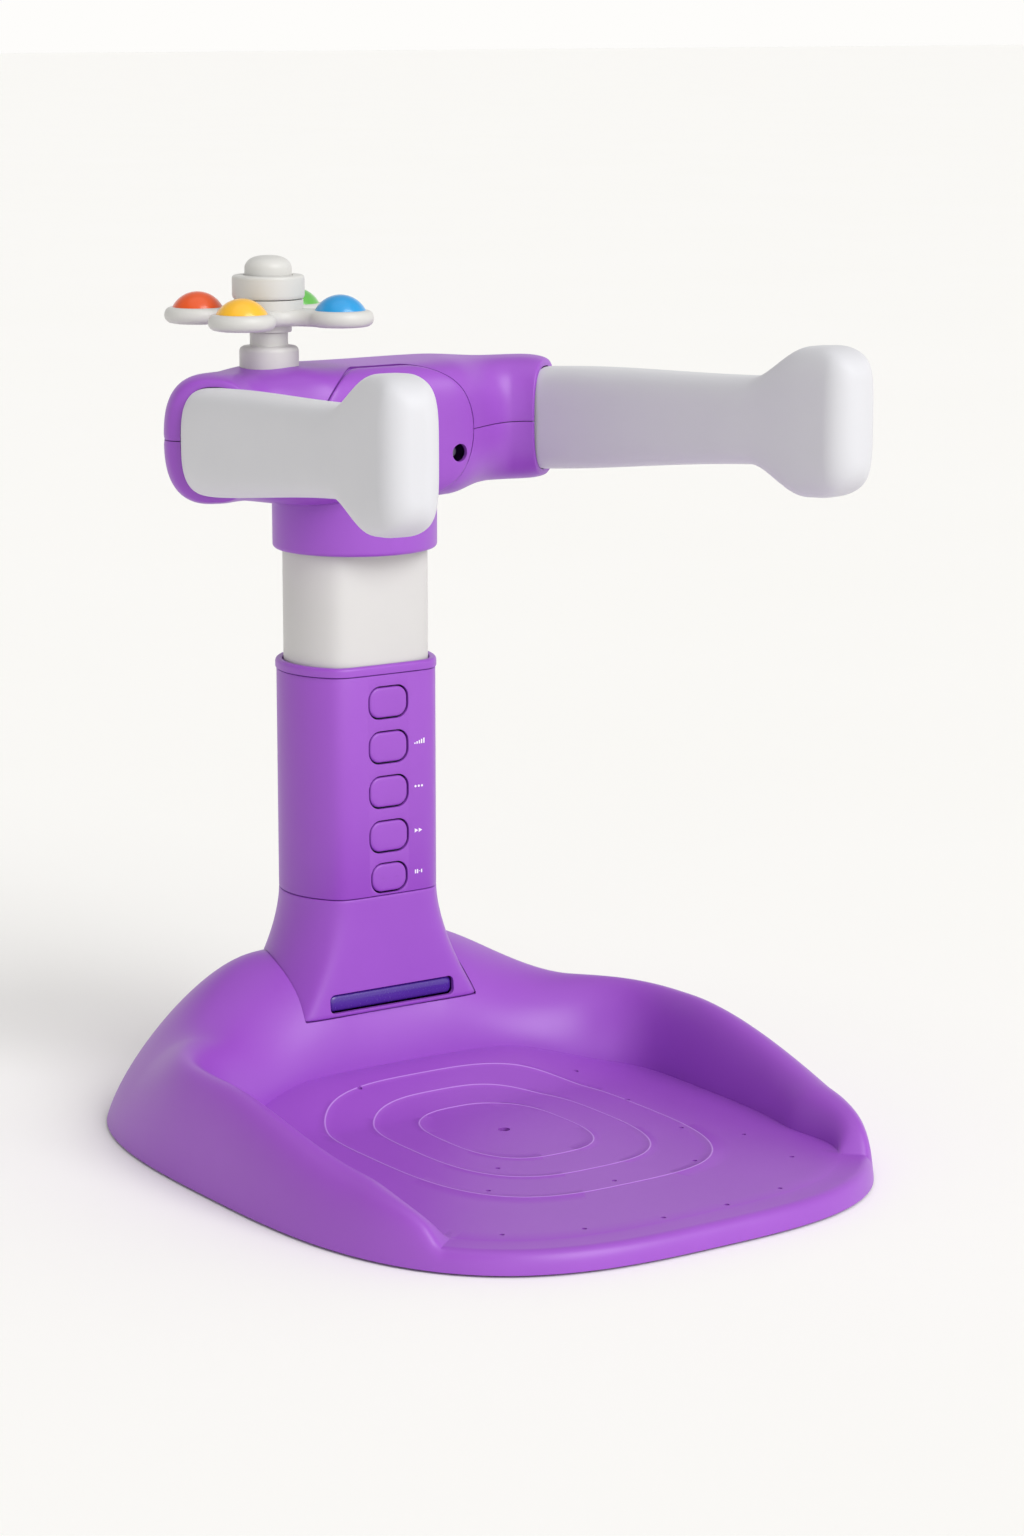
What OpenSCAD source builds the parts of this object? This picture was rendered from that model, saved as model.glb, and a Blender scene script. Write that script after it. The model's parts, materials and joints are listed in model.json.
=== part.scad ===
// Activity jumper: a walled foot tray, a column with five push buttons, and a sprung head that
// slides on a white mast and carries two padded arms and a spinner toy.
// Millimetres, +Z up, the open front is -Y. The origin is the middle of the tray, on the floor.

/* [Tray] */
// Width of the tray at the floor
tray_w = 510; // [500:2:520]
// Depth of the tray at the floor
tray_d = 638; // [630:2:646]
// Height of the standing floor
floor_z = 20; // [19:0.5:21]
// Wall thickness of the moulded tray
tray_wall = 3.5; // [3:0.25:4]

/* [Column] */
// Radius of the column
column_r = 66; // [65.5:0.5:66.5]
// Distance of the column's flat front from its axis
column_flat = 50; // [49.5:0.25:50.5]
// Height of the seam between pedestal and column
seam_z = 182; // [180:1:184]
// Height of the top of the column's bezel ring
column_top = 376; // [375:0.5:378]
// Radius of the white mast sleeve
sleeve_r = 60; // [59:0.25:60]

/* [Buttons] */
// Width of one push button
button_w = 36; // [30:1:37]
// Height of one push button
button_h = 25; // [20:1:26]
// Distance from one button to the next
button_pitch = 37.5; // [36.5:0.5:38]

/* [Head] */
// Height of the head's seam between its shells
head_z = 566; // [565:0.5:567]
// Half height of the head over the mast
head_half_h = 56; // [55:0.5:57]
// Travel of the sprung head
stroke = 75; // [40:5:75]

/* [Arms] */
// Height of the T-shaped end of an arm
arm_end_h = 117; // [112:1:120]
// Thickness of the T-shaped end
arm_end_t = 48; // [44:1:50]

/* [Spinner] */
// Distance from the spinner's axis to the middle of a petal
petal_reach = 61; // [59:0.5:63]
// Diameter of one coloured dome
dome_d = 38; // [34:1:40]

/* [Hidden] */
$fn = 64;
eps = 0.01;

PURPLE = "#9a53c4";
INDIGO = "#4b2191";
WHITE = "#e4e3df";
GREY_WHITE = "#dadade";
DARK = "#2b2b30";
STEEL = "#b9bcc2";
BOARD = "#2f6b45";

column_y = 184;         // the column's axis, behind the middle of the tray
gap = 0.3;              // clearance between separate pieces
foot_lift = 2;          // the moulded base stands this high on its rubber feet
shell = 3.5;            // wall thickness of the column, pedestal and head

// --- curves ---------------------------------------------------------------

function mix(a, b, t) = a + (b - a) * t;
function smooth(u) = let (v = min(1, max(0, u))) v * v * (3 - 2 * v);
function signed_pow(v, p) = sign(v) * pow(abs(v), p);

// Point on a superellipse with half axes a and b, and exponent n.
function super(a, b, n, angle) =
    [a * signed_pow(cos(angle), 2 / n), b * signed_pow(sin(angle), 2 / n)];

// Point on a cubic Bezier curve through four control points.
function bezier(p, t) =
    pow(1 - t, 3) * p[0] + 3 * pow(1 - t, 2) * t * p[1]
    + 3 * (1 - t) * t * t * p[2] + pow(t, 3) * p[3];
function bezier_slope(p, t) =
    3 * pow(1 - t, 2) * (p[1] - p[0]) + 6 * (1 - t) * t * (p[2] - p[1])
    + 3 * t * t * (p[3] - p[2]);

// Triangles between closed rings of n points, for rings first to last of a point list.
function ring_faces(first, last, n) = [
    for (r = [first:last - 1], i = [0:n - 1])
        let (a = r * n + i, b = r * n + (i + 1) % n)
            each [[a, b + n, b], [a, a + n, b + n]]
];
function fan(first, n) = [for (i = [1:n - 2]) [first, first + i, first + i + 1]];
function turned(faces) = [for (f = faces) [f[2], f[1], f[0]]];

// A solid skinned over closed rings of equal length, with flat ends.
module loft(rings) {
    n = len(rings[0]);
    last = len(rings) - 1;
    polyhedron(
        [for (ring = rings) each ring],
        concat(ring_faces(0, last, n), fan(0, n), turned(fan(last * n, n)))
    );
}

// --- tray -----------------------------------------------------------------

tray_around = 88;       // points around the outline
tray_steps = 6;         // steps along each curve of the wall's section
outline_n = 3;          // exponent of the outline's superellipse
wall_start = -262;      // y where the side walls rise from the front lip
wall_full = -205;       // y where they reach their height
wall_front_z = 54;      // height of the side walls there
wall_rise = 32;         // how much higher they are beside the column
shoulder = 32;          // how much further the rim climbs to meet the pedestal
ramp = 22;              // height of the heel ramp in front of the pedestal

function outline(angle) = super(tray_w / 2, tray_d / 2, outline_n, angle);
function outline_normal(p) =
    let (
        v = [
            signed_pow(p[0] / (tray_w / 2), outline_n - 1) / (tray_w / 2),
            signed_pow(p[1] / (tray_d / 2), outline_n - 1) / (tray_d / 2)
        ]
    )
    v / norm(v);

function wall_height(y) =
    y < wall_start ? floor_z - 1
    : y < wall_full
        ? floor_z - 1 + (wall_front_z - floor_z + 1)
            * sqrt(1 - pow((wall_full - y) / (wall_full - wall_start), 2))
        : wall_front_z + wall_rise * smooth((y + 215) / 240);
function floor_height(p) =
    floor_z + ramp * smooth((p[1] - 30) / 90) * (1 - 0.75 * smooth((abs(p[0]) - 90) / 110));

function up_to(p, z) = [p[0], p[1], z];

// The wall's section at one angle of the outline, from the floor line over the crest to the
// standing floor, as a list of points.
function wall_section(angle) =
    let (
        o = outline(angle),
        y = o[1],
        n = outline_normal(o),
        back = smooth((y - 40) / 250),
        side = smooth((y - wall_start) / 55),
        inset = mix(11, 26, side),
        c = mix(o - inset * n, super(229, 216, 2.3, angle), smooth((y + 10) / 200)),
        crest_z = wall_height(y) + (y < 100 ? 0 : shoulder * smooth((170 - abs(c[0])) / 90)),
        f = mix(o - (inset + mix(17, 24, side)) * n, super(208, 118, 2.8, angle),
                smooth((y + 60) / 180)),
        d = o - c,
        e = f - c,
        out_reach = norm(d) > 18 ? mix(17, 0.55 * norm(d), back) : 0.75 * norm(d),
        in_reach = mix(15, 0.7 * norm(e), back) * (norm(e) > 24 ? 1 : 0.6),
        rise = crest_z - foot_lift,
        foot = floor_height(f),
        outer = [
            up_to(o, foot_lift),
            up_to(o - mix(0.05, 0.12, back) * d, foot_lift + mix(0.6, 0.35, back) * rise),
            up_to(c + out_reach * d / norm(d), crest_z),
            up_to(c, crest_z)
        ],
        inner = [
            up_to(c, crest_z),
            up_to(c + in_reach * e / norm(e), crest_z),
            up_to(f - mix(0.05, 0.02, back) * e, foot + mix(0.3, 0.62, back) * (crest_z - foot)),
            up_to(f, foot)
        ]
    )
    concat(
        [for (k = [0:tray_steps]) bezier(outer, k / tray_steps)],
        [for (k = [1:tray_steps]) bezier(inner, k / tray_steps)],
        [for (s = [0.82, 0.6, 0.35]) let (q = s * f) up_to(q, floor_height(q))]
    );

tray_rings = 2 * tray_steps + 4;

// Moves a point of the skin inwards by the wall thickness, for the underside.
function under_point(sections, i, r) =
    let (
        n = tray_around,
        here = sections[i][r],
        side = sections[(i + 1) % n][r] - sections[(i + n - 1) % n][r],
        along = sections[i][min(r + 1, tray_rings - 1)] - sections[i][max(r - 1, 0)],
        v = cross(side, along),
        moved = here - tray_wall * v / norm(v)
    )
    r == 0 ? [moved[0], moved[1], foot_lift] : moved;

module tray_skin() {
    n = tray_around;
    sections = [for (i = [0:n - 1]) wall_section(360 * (i + 0.5) / n)];
    m = tray_rings * n + 1;
    top = [for (r = [0:tray_rings - 1], i = [0:n - 1]) sections[i][r]];
    under = [for (r = [0:tray_rings - 1], i = [0:n - 1]) under_point(sections, i, r)];
    skin = concat(
        ring_faces(0, tray_rings - 1, n),
        [for (i = [0:n - 1]) [m - 1 - n + i, m - 1, m - 1 - n + (i + 1) % n]]
    );
    edge = [
        for (i = [0:n - 1])
            let (j = (i + 1) % n)
                each [[i, j, j + m], [i, j + m, i + m]]
    ];
    polyhedron(
        concat(top, [[0, 0, floor_z]], under, [[0, 0, floor_z - tray_wall]]),
        concat(skin, turned([for (f = skin) f + [m, m, m]]), edge)
    );
}

module base_tray() {
    color(PURPLE)
        difference() {
            tray_skin();
            translate([0, column_y, 0]) bell(grow = gap, bottom = pedestal_bottom - gap);
            intersection() {
                translate([0, column_y, -eps]) cylinder(h = pedestal_bottom, r = 92);
                translate([-100, column_y - column_flat + 4, -1]) cube([200, 300, 100]);
            }
        }
}

cover_z = 2;            // underside of the bottom cover
cover_t = 3;
foot_places = [[150, 215], [-150, 215], [205, 0], [-205, 0], [140, -230], [-140, -230]];

module bottom_cover() {
    inset = tray_wall + 2.5;
    color(DARK)
        translate([0, 0, cover_z])
            difference() {
                linear_extrude(cover_t)
                    polygon([
                        for (i = [0:59])
                            super(tray_w / 2 - inset, tray_d / 2 - inset, outline_n, 6 * i)
                    ]);
                for (p = screw_places)
                    translate([p[0], p[1], -eps]) cylinder(h = cover_t + 1, r = 2.3);
            }
}

module rubber_feet() {
    color(DARK)
        for (p = foot_places)
            translate([p[0], p[1], 0]) cylinder(h = cover_z - eps, r = 15);
}

screw_places = [[95, 272], [-95, 272], [222, 90], [-222, 90], [215, -110], [-215, -110],
                [60, -285], [-60, -285]];

module bottom_cover_screws() {
    color(STEEL)
        for (p = screw_places)
            translate([p[0], p[1], 0.3]) {
                cylinder(h = cover_z - 0.3 - eps, r = 4);
                cylinder(h = 11, r = 2);
            }
}

// --- pedestal and column ----------------------------------------------------

pedestal_bottom = 86;   // lower edge of the pedestal's front
bell_top = seam_z;

// Radius of the flared pedestal at height z.
function bell_r(z) = column_r + 33 * pow(max(0, bell_top - z) / 90, 1.25);

// The pedestal's outer form, grown outwards, cut flat at the front.
module bell(grow = 0, bottom = pedestal_bottom, top = bell_top) {
    intersection() {
        rotate_extrude()
            polygon(concat(
                [[0, top], [0, bottom]],
                [for (k = [0:8]) let (z = mix(bottom, top, k / 8)) [bell_r(z) + grow, z]]
            ));
        translate([-150, -column_flat - 4 - grow, bottom - 1]) cube([300, 300, top]);
    }
}

slot_w = 120;
slot_h = 16;
slot_z = 97;            // middle of the slot

module rounded_bar(w, h, d) {
    // A bar along Y with round ends, centred on the XZ origin.
    rotate([90, 0, 0])
        linear_extrude(d, center = true)
            union() {
                square([w - h, h], center = true);
                for (s = [-1, 1]) translate([s * (w - h) / 2, 0]) circle(h / 2);
            }
}

module pedestal() {
    color(PURPLE)
        translate([0, column_y, 0])
            difference() {
                bell();
                difference() {
                    bell(grow = -shell, top = bell_top + eps);
                    translate([-150, -150, 0]) cube([300, 300, pedestal_bottom + 2]);
                }
                translate([0, 0, 50]) cylinder(h = 60, r = socket_r + gap);
                translate([0, -column_flat - 4, slot_z]) rounded_bar(slot_w, slot_h, 24);
            }
}

bar_depth = 8;
bar_back = -column_flat + 3 + bar_depth / 2;    // the bar's back face, from the column's axis
bar_travel = 4;
bar_spring_x = 50;      // the two return springs stand this far from the middle

module release_bar() {
    color(INDIGO)
        translate([0, column_y, slot_z])
            difference() {
                translate([0, bar_back - bar_depth / 2, 0]) rounded_bar(slot_w - 1, slot_h - 1, bar_depth);
                translate([0, bar_back - 1.5, 0]) cube([80, 4, 8], center = true);
                for (s = [-1, 1])
                    translate([s * bar_spring_x, bar_back - bar_travel - 1, 0])
                        rotate([-90, 0, 0]) cylinder(h = bar_travel + 2, r = 4.8);
            }
}

// The springs at their pressed length, each with its end in a pocket of the bar.
module release_bar_springs() {
    wire = 0.7;
    color(STEEL)
        for (s = [-1, 1])
            translate([s * bar_spring_x, column_y + bar_back, slot_z])
                rotate([-90, 0, 0])
                    for (k = [0:4])
                        translate([0, 0, wire + 0.1 + 2.2 * k])
                            rotate_extrude() translate([3.4, 0]) circle(wire);
}

socket_r = 56;          // outside of the structural tube that carries the column

module column_socket() {
    color(DARK)
        translate([0, column_y, 0])
            difference() {
                union() {
                    translate([0, 0, cover_z + cover_t]) cylinder(h = 5, r = 84);
                    intersection() {
                        translate([0, 0, cover_z + cover_t]) cylinder(h = 195, r = socket_r);
                        translate([-100, -30, 0]) cube([200, 200, 300]);
                    }
                }
                translate([0, 0, -eps]) cylinder(h = 300, r = socket_r - 4);
                for (a = [45:90:315])
                    rotate(a) translate([70, 0, -eps]) cylinder(h = 20, r = 3.2);
            }
}

module socket_bolts() {
    color(STEEL)
        for (a = [45:90:315])
            translate([0, column_y, cover_z + cover_t])
                rotate(a)
                    translate([70, 0, 0]) {
                        cylinder(h = 5 + eps, r = 3);
                        translate([0, 0, 5]) cylinder(h = 4, r = 5.5, $fn = 6);
                    }
}

shell_top = 368;        // top of the column's shell, under its bezel ring
cover_cut_y = 43;       // the rear cover starts this far behind the axis

// The column's D-shaped section, shrunk by t.
module column_section(t = 0, r = column_r, flat = column_flat) {
    intersection() {
        circle(r - t);
        translate([-r, t - flat]) square([2 * r, r + flat]);
    }
}

module button_hole(grow, size = 1) {
    // A rounded rectangle through the column's front.
    rotate([90, 0, 0])
        linear_extrude(12, center = true)
            rounded_rect(size * button_w + grow, size * button_h + grow, 9);
}

module rounded_rect(w, h, r) {
    square([w - 2 * r, h], center = true);
    square([w, h - 2 * r], center = true);
    for (x = [-1, 1], y = [-1, 1])
        translate([x * (w / 2 - r), y * (h / 2 - r)]) circle(r, $fn = 32);
}

// The lowest button is a little smaller and sits closer to the next.
last_button = 5;
function button_scale(i) = i == last_button ? 0.92 : 1;
function button_z(i) = 344.5 - (i - 1) * button_pitch + (i == last_button ? 2.5 : 0);

module column_shell() {
    color(PURPLE)
        translate([0, column_y, 0])
            difference() {
                translate([0, 0, seam_z + gap])
                    linear_extrude(shell_top - seam_z - gap)
                        difference() {
                            column_section();
                            column_section(shell);
                            translate([-100, cover_cut_y]) square([200, 100]);
                        }
                for (i = [1:5])
                    translate([0, -column_flat, button_z(i)]) button_hole(0.8, button_scale(i));
            }
}

module column_rear_cover() {
    color(PURPLE)
        translate([0, column_y, 0])
            difference() {
                translate([0, 0, seam_z + gap])
                    linear_extrude(shell_top - seam_z - gap)
                        intersection() {
                            difference() {
                                column_section();
                                column_section(shell);
                            }
                            translate([-100, cover_cut_y + gap]) square([200, 100]);
                        }
                translate([0, 0, door_z - gap])
                    rotate([0, 0, 90 - door_half - 0.3])
                        rotate_extrude(angle = 2 * door_half + 0.6)
                            translate([column_r - shell - 1, 0])
                                square([shell + 2, door_h + 2 * gap]);
                for (z = [door_z + door_h + 18, seam_z + 8])
                    translate([0, column_r - 8, z]) rotate([-90, 0, 0]) cylinder(h = 20, r = 2.3);
            }
}

module rear_cover_screws() {
    color(STEEL)
        for (z = [door_z + door_h + 18, seam_z + 8])
            translate([0, column_y + column_r - shell - 5, z])
                rotate([-90, 0, 0]) cylinder(h = shell + 4, r = 2);
}

door_z = 206;
door_h = 78;
door_half = 30;         // half the angle that the battery door covers

module battery_door() {
    color(PURPLE)
        translate([0, column_y, door_z])
            rotate([0, 0, 90 - door_half])
                rotate_extrude(angle = 2 * door_half)
                    translate([column_r - shell, 0]) square([shell, door_h]);
}

module bezel_ring() {
    color(PURPLE)
        translate([0, column_y, shell_top + gap])
            difference() {
                linear_extrude(column_top - shell_top - gap) column_section(-1.2);
                translate([0, 0, -1])
                    linear_extrude(20)
                        column_section(0, sleeve_r + gap, sleeve_flat + gap);
            }
}

// --- buttons and electronics -------------------------------------------------

button_travel = 1.8;
cap_depth = 5;          // from the button's face to its back

module button_cap(i) {
    color(PURPLE)
        translate([0, column_y - column_flat, button_z(i)])
            rotate([-90, 0, 0]) {
                linear_extrude(cap_depth)
                    rounded_rect(button_scale(i) * button_w, button_scale(i) * button_h, 9);
                translate([0, 0, cap_depth - eps]) cylinder(h = 3, r = 3);
            }
}

module button_1() { button_cap(1); }
module button_2() { button_cap(2); }
module button_3() { button_cap(3); }
module button_4() { button_cap(4); }
module button_5() { button_cap(5); }

switch_y = -column_flat + cap_depth + 3 + button_travel + 0.2;
switch_h = 3.5;

module button_switches() {
    color(DARK)
        for (i = [1:5])
            translate([-3.5, column_y + switch_y, button_z(i) - 3.5]) cube([7, switch_h, 7]);
}

module circuit_board() {
    color(BOARD)
        translate([-24, column_y + switch_y + switch_h, 186]) cube([48, 1.6, 166]);
}

module speaker() {
    color(DARK)
        translate([0, column_y - 28, 225])
            rotate([-90, 0, 0]) {
                cylinder(h = 5, r = 22);
                translate([0, 0, 5]) cylinder(h = 9, r = 14);
            }
}

module battery_box() {
    color(DARK)
        translate([-29, column_y + 18, 210])
            difference() {
                cube([58, 20, 70]);
                translate([2, 2, 2]) cube([54, 20, 66]);
            }
}

module batteries() {
    color("#c9a23a")
        for (k = [-1:1])
            translate([k * 17, column_y + 30, 214]) {
                cylinder(h = 60, r = 7.2);
                translate([0, 0, 60 - eps]) cylinder(h = 1.5, r = 2.7);
            }
}

// --- mast and bounce spring ---------------------------------------------------

sleeve_flat = 46;
sleeve_bottom = 358;
sleeve_top = 504;
rod_r = 10;

module mast_sleeve() {
    color(WHITE)
        translate([0, column_y, sleeve_bottom])
            linear_extrude(sleeve_top - sleeve_bottom)
                difference() {
                    column_section(0, sleeve_r, sleeve_flat);
                    column_section(3, sleeve_r, sleeve_flat);
                }
}

module mast_seat() {
    color(DARK)
        translate([0, column_y, 0])
            difference() {
                union() {
                    translate([0, 0, sleeve_bottom - 6])
                        linear_extrude(6)
                            column_section(shell + gap);
                    translate([0, 0, sleeve_bottom - eps])
                        linear_extrude(12)
                            column_section(3 + gap, sleeve_r, sleeve_flat);
                }
                translate([0, 0, sleeve_bottom - 10]) cylinder(h = 40, r = 15);
                translate([-button_w / 2 - 1, -column_flat - 10, sleeve_bottom - 10])
                    cube([button_w + 2, cap_depth + button_travel + 11, 11]);
            }
}

module lower_guide_bush() {
    color(WHITE)
        translate([0, column_y, 0])
            difference() {
                union() {
                    translate([0, 0, sleeve_bottom - 6]) cylinder(h = 18, r = 14.98);
                    translate([0, 0, sleeve_bottom + 12]) cylinder(h = 4, r = 20);
                }
                translate([0, 0, sleeve_bottom - 20]) cylinder(h = 60, r = rod_r + 0.06);
            }
}

rod_bottom = 332;
washer_z = sleeve_bottom - 6 - 6 - gap;
cap_z = sleeve_top + stroke + 5;    // underside of the head plate, clear of the mast at full travel

module plunger_rod() {
    color(STEEL)
        translate([0, column_y, rod_bottom]) cylinder(h = cap_z + 4 - rod_bottom, r = rod_r);
}

module stop_washer() {
    color(DARK)
        translate([0, column_y, washer_z])
            difference() {
                cylinder(h = 6, r = 17);
                translate([0, 0, -1]) cylinder(h = 8, r = rod_r + 0.01);
            }
}

spring_bottom = sleeve_bottom + 16;
spring_top = cap_z - 8;
coil_r = 26;
wire_r = 2.6;
coil_turns = 7;
coil_sides = 6;

// A coil whose end turns lie flat: most of the pitch is in the middle turns.
function coil_height(u) =
    let (turn = u * (coil_turns + 2), flat = 2.1 * wire_r)
        turn < 1 ? flat * turn
        : turn > coil_turns + 1
            ? spring_top - spring_bottom - 2 * wire_r - flat * (coil_turns + 2 - turn)
            : mix(flat, spring_top - spring_bottom - 2 * wire_r - flat, (turn - 1) / coil_turns);

module bounce_spring() {
    steps = (coil_turns + 2) * 18;
    color(STEEL)
        translate([0, column_y, spring_bottom + wire_r])
            loft([
                for (k = [0:steps])
                    let (u = k / steps, a = 20 * k)
                        [
                            for (s = [0:coil_sides - 1])
                                let (b = 360 * s / coil_sides, r = coil_r + wire_r * cos(b))
                                    [r * cos(a), r * sin(a), coil_height(u) + wire_r * sin(b)]
                        ]
            ]);
}

module spring_cap() {
    color(DARK)
        translate([0, column_y, spring_top])
            difference() {
                cylinder(h = 8 - eps, r = 33);
                translate([0, 0, -1]) cylinder(h = 10, r = rod_r + 0.01);
            }
}

// --- head ------------------------------------------------------------------------

// The yoke's centre line on one side, from the mast to the arm's mouth.
yoke_path = [[0, 0, head_z - 2], [72, 0, head_z - 2], [131, -12, head_z + 3], [158.5, -47, head_z + 3]];
mouth = yoke_path[3];

function yoke_half_h(u) = mix(head_half_h, 44.5, smooth((u - 0.35) / 0.6));
function yoke_half_d(u) = mix(65, 36.5, smooth((u - 0.3) / 0.65));
function yoke_n(u) = mix(4.5, 2.6, smooth((u - 0.15) / 0.55));

// Point of the yoke's skin: u runs from -1 at the left mouth to 1 at the right one,
// and angle 0 points back, 90 up.
function yoke_point(u, angle, t) =
    let (
        s = sign(u),
        p = bezier(yoke_path, abs(u)),
        v = bezier_slope(yoke_path, abs(u)),
        side = [-v[1], v[0]] / norm([v[0], v[1]]),
        q = super(yoke_half_d(abs(u)) - t, yoke_half_h(abs(u)) - t, yoke_n(abs(u)), angle)
    )
    [(s < 0 ? -1 : 1) * (p[0] + q[0] * side[0]), p[1] + q[0] * side[1], p[2] + q[1]];

// One half of the yoke as a shell: the angles from start to start + 180.
module yoke_half(start) {
    steps = 14;
    loft([
        for (k = [-12:12])
            let (u = k / 12)
                concat(
                    [for (i = [0:steps]) yoke_point(u, start + 180 * i / steps, 0)],
                    [for (i = [steps:-1:0]) yoke_point(u, start + 180 * i / steps, shell)]
                )
    ]);
}

collar_top = 524;

module yoke_lower_shell() {
    color(PURPLE)
        translate([0, column_y, 0])
            difference() {
                translate([0, 0, -gap / 2]) yoke_half(180);
                collar_room();
                translate([0, 0, 480]) cylinder(h = 80, r = sleeve_r + 2);
            }
}

module yoke_upper_shell() {
    color(PURPLE)
        translate([0, column_y, gap / 2])
            difference() {
                yoke_half(0);
                translate([spinner_x, 0, 590]) cylinder(h = 60, r = 5.3);
            }
}

// The room that the head's shells leave for the top of the collar.
module collar_room() {
    translate([0, 0, collar_top - 44]) cylinder(h = 44 + gap, r = collar_r + gap);
}

collar_r = 68;
collar_bottom = 468;
bush_h = 32;

module collar() {
    color(PURPLE)
        translate([0, column_y, 0])
            difference() {
                translate([0, 0, collar_bottom]) cylinder(h = collar_top - collar_bottom, r = collar_r);
                translate([0, 0, collar_bottom - 1]) cylinder(h = 60, r = collar_r - 3.5);
                translate([0, -collar_r + 3, bush_screw_z]) rotate([90, 0, 0]) cylinder(h = 12, r = 6.5);
            }
}

bush_screw_z = 494;          // height of the screw that holds the bush
screw_seat = 58;        // distance of its seat from the axis

module collar_bush() {
    color(WHITE)
        translate([0, column_y, collar_bottom + 2])
            difference() {
                cylinder(h = bush_h, r = collar_r - 3.5 - 0.01);
                translate([0, 0, -1])
                    linear_extrude(bush_h + 2)
                        column_section(0, sleeve_r + 0.08, sleeve_flat + 0.08);
                translate([0, 0, bush_screw_z - collar_bottom - 2])
                    rotate([90, 0, 0]) {
                        cylinder(h = 80, r = 2.3);
                        translate([0, 0, screw_seat]) cylinder(h = 20, r = 6.5);
                    }
            }
}

module bush_screw() {
    color(STEEL)
        translate([0, column_y, bush_screw_z])
            rotate([90, 0, 0])
                translate([0, 0, 48]) {
                    cylinder(h = screw_seat - 48, r = 2.2);
                    translate([0, 0, screw_seat - 48]) cylinder(h = 3, r = 4.5);
                }
}

module head_plate() {
    color(STEEL)
        translate([0, column_y, cap_z])
            difference() {
                union() {
                    linear_extrude(4)
                        union() {
                            square([230, 60], center = true);
                            circle(44);
                        }
                    for (s = [-1, 1])
                        translate([s * 118, -10, 2]) cube([56, 40, 4], center = true);
                }
                translate([0, 0, -1]) cylinder(h = 8, r = rod_r + 0.01);
                translate([spinner_x, 0, -1]) cylinder(h = 8, r = 6);
            }
}

// The cover on the head's front: a patch of the yoke's skin, standing proud of it.
module head_front_cover() {
    steps = 10;
    color(PURPLE)
        translate([0, column_y, 0])
            difference() {
                loft([
                    for (k = [-7:7])
                        let (u = k * 0.062, reach = 62 * sqrt(1 - pow(k / 8.2, 4)))
                            concat(
                                [for (i = [0:steps])
                                    yoke_point(u, mix(180 - reach, 180 + reach, i / steps), -3)],
                                [for (i = [steps:-1:0])
                                    yoke_point(u, mix(180 - reach, 180 + reach, i / steps), -gap)]
                            )
                ]);
                for (s = [-1, 1])
                    translate([s * cover_screw_x, -50, cover_screw_z])
                        rotate([90, 0, 0]) cylinder(h = 40, r = 6.5);
                collar_room();
            }
}

cover_screw_x = 58.7;
cover_screw_z = 548;

module cover_screws() {
    color(STEEL)
        for (s = [-1, 1])
            translate([s * cover_screw_x, column_y - 48, cover_screw_z])
                rotate([90, 0, 0]) cylinder(h = 9, r = 4);
}

// --- arms ---------------------------------------------------------------------------

arm_tip = [199, -370, 592];
arm_path = [mouth, mouth + [14, -20, 1], arm_tip + [-19, 150, -9], arm_tip + [3, -36, 2]];
core_start = [146, -8, 569];
core_end = [192, -318, 588];
core_r = 9;

// Half height and half thickness of an arm at t, from its mouth to its end.
function arm_half_h(t) =
    mix(mix(42, 34.5, smooth(t / 0.7)), arm_end_h / 2, smooth((t - 0.72) / 0.16))
    * (t > 0.93 ? sqrt(1 - pow((t - 0.93) / 0.085, 2) * 0.35) : 1);
function arm_half_w(t) =
    mix(mix(33, 23, smooth(t / 0.75)), arm_end_t / 2, smooth((t - 0.7) / 0.15))
    * (t > 0.9 ? sqrt(1 - pow((t - 0.9) / 0.11, 2) * 0.8) : 1);

module arm_grip(s) {
    stations = [0, 0.08, 0.18, 0.3, 0.42, 0.54, 0.64, 0.71, 0.76, 0.8, 0.84, 0.88, 0.92, 0.95,
                0.98, 1];
    color(GREY_WHITE)
        translate([0, column_y, 0])
            mirror([s < 0 ? 1 : 0, 0, 0])
                difference() {
                    loft([
                        for (t = stations)
                            let (
                                p = bezier(arm_path, t),
                                v = bezier_slope(arm_path, t),
                                side = [-v[1], v[0]] / norm([v[0], v[1]])
                            )
                                [
                                    for (i = [0:23])
                                        let (q = super(arm_half_w(t), arm_half_h(t), 3, 15 * i))
                                            [
                                                p[0] + q[0] * side[0],
                                                p[1] + q[0] * side[1],
                                                p[2] + q[1]
                                            ]
                                ]
                    ]);
                    bar(core_start, core_end, core_r + 0.2);
                }
}

module bar(a, b, r) {
    v = b - a;
    translate(a)
        rotate([0, acos(v[2] / norm(v)), atan2(v[1], v[0])]) cylinder(h = norm(v), r = r);
}

module arm_core(s) {
    color(STEEL)
        translate([0, column_y, 0])
            mirror([s < 0 ? 1 : 0, 0, 0]) {
                difference() {
                    bar(core_start, core_end - [0, -1, 0], core_r);
                    bar(core_start - (core_end - core_start) / 50,
                        core_end - (core_end - core_start) / 50, core_r - 2);
                }
            }
}

module left_arm_core() { arm_core(-1); }
module right_arm_core() { arm_core(1); }
module left_arm_grip() { arm_grip(-1); }
module right_arm_grip() { arm_grip(1); }

// --- spinner ------------------------------------------------------------------------

spinner_x = -80;
head_top = head_z - 2 + head_half_h;    // top of the head over the mast
base_z = head_top - 3;
petal_z = 654;
petal_t = 13;
petal_turn = -51;                       // direction of the blue petal at rest

module at_spinner(z) {
    translate([spinner_x, column_y, z]) children();
}

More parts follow.
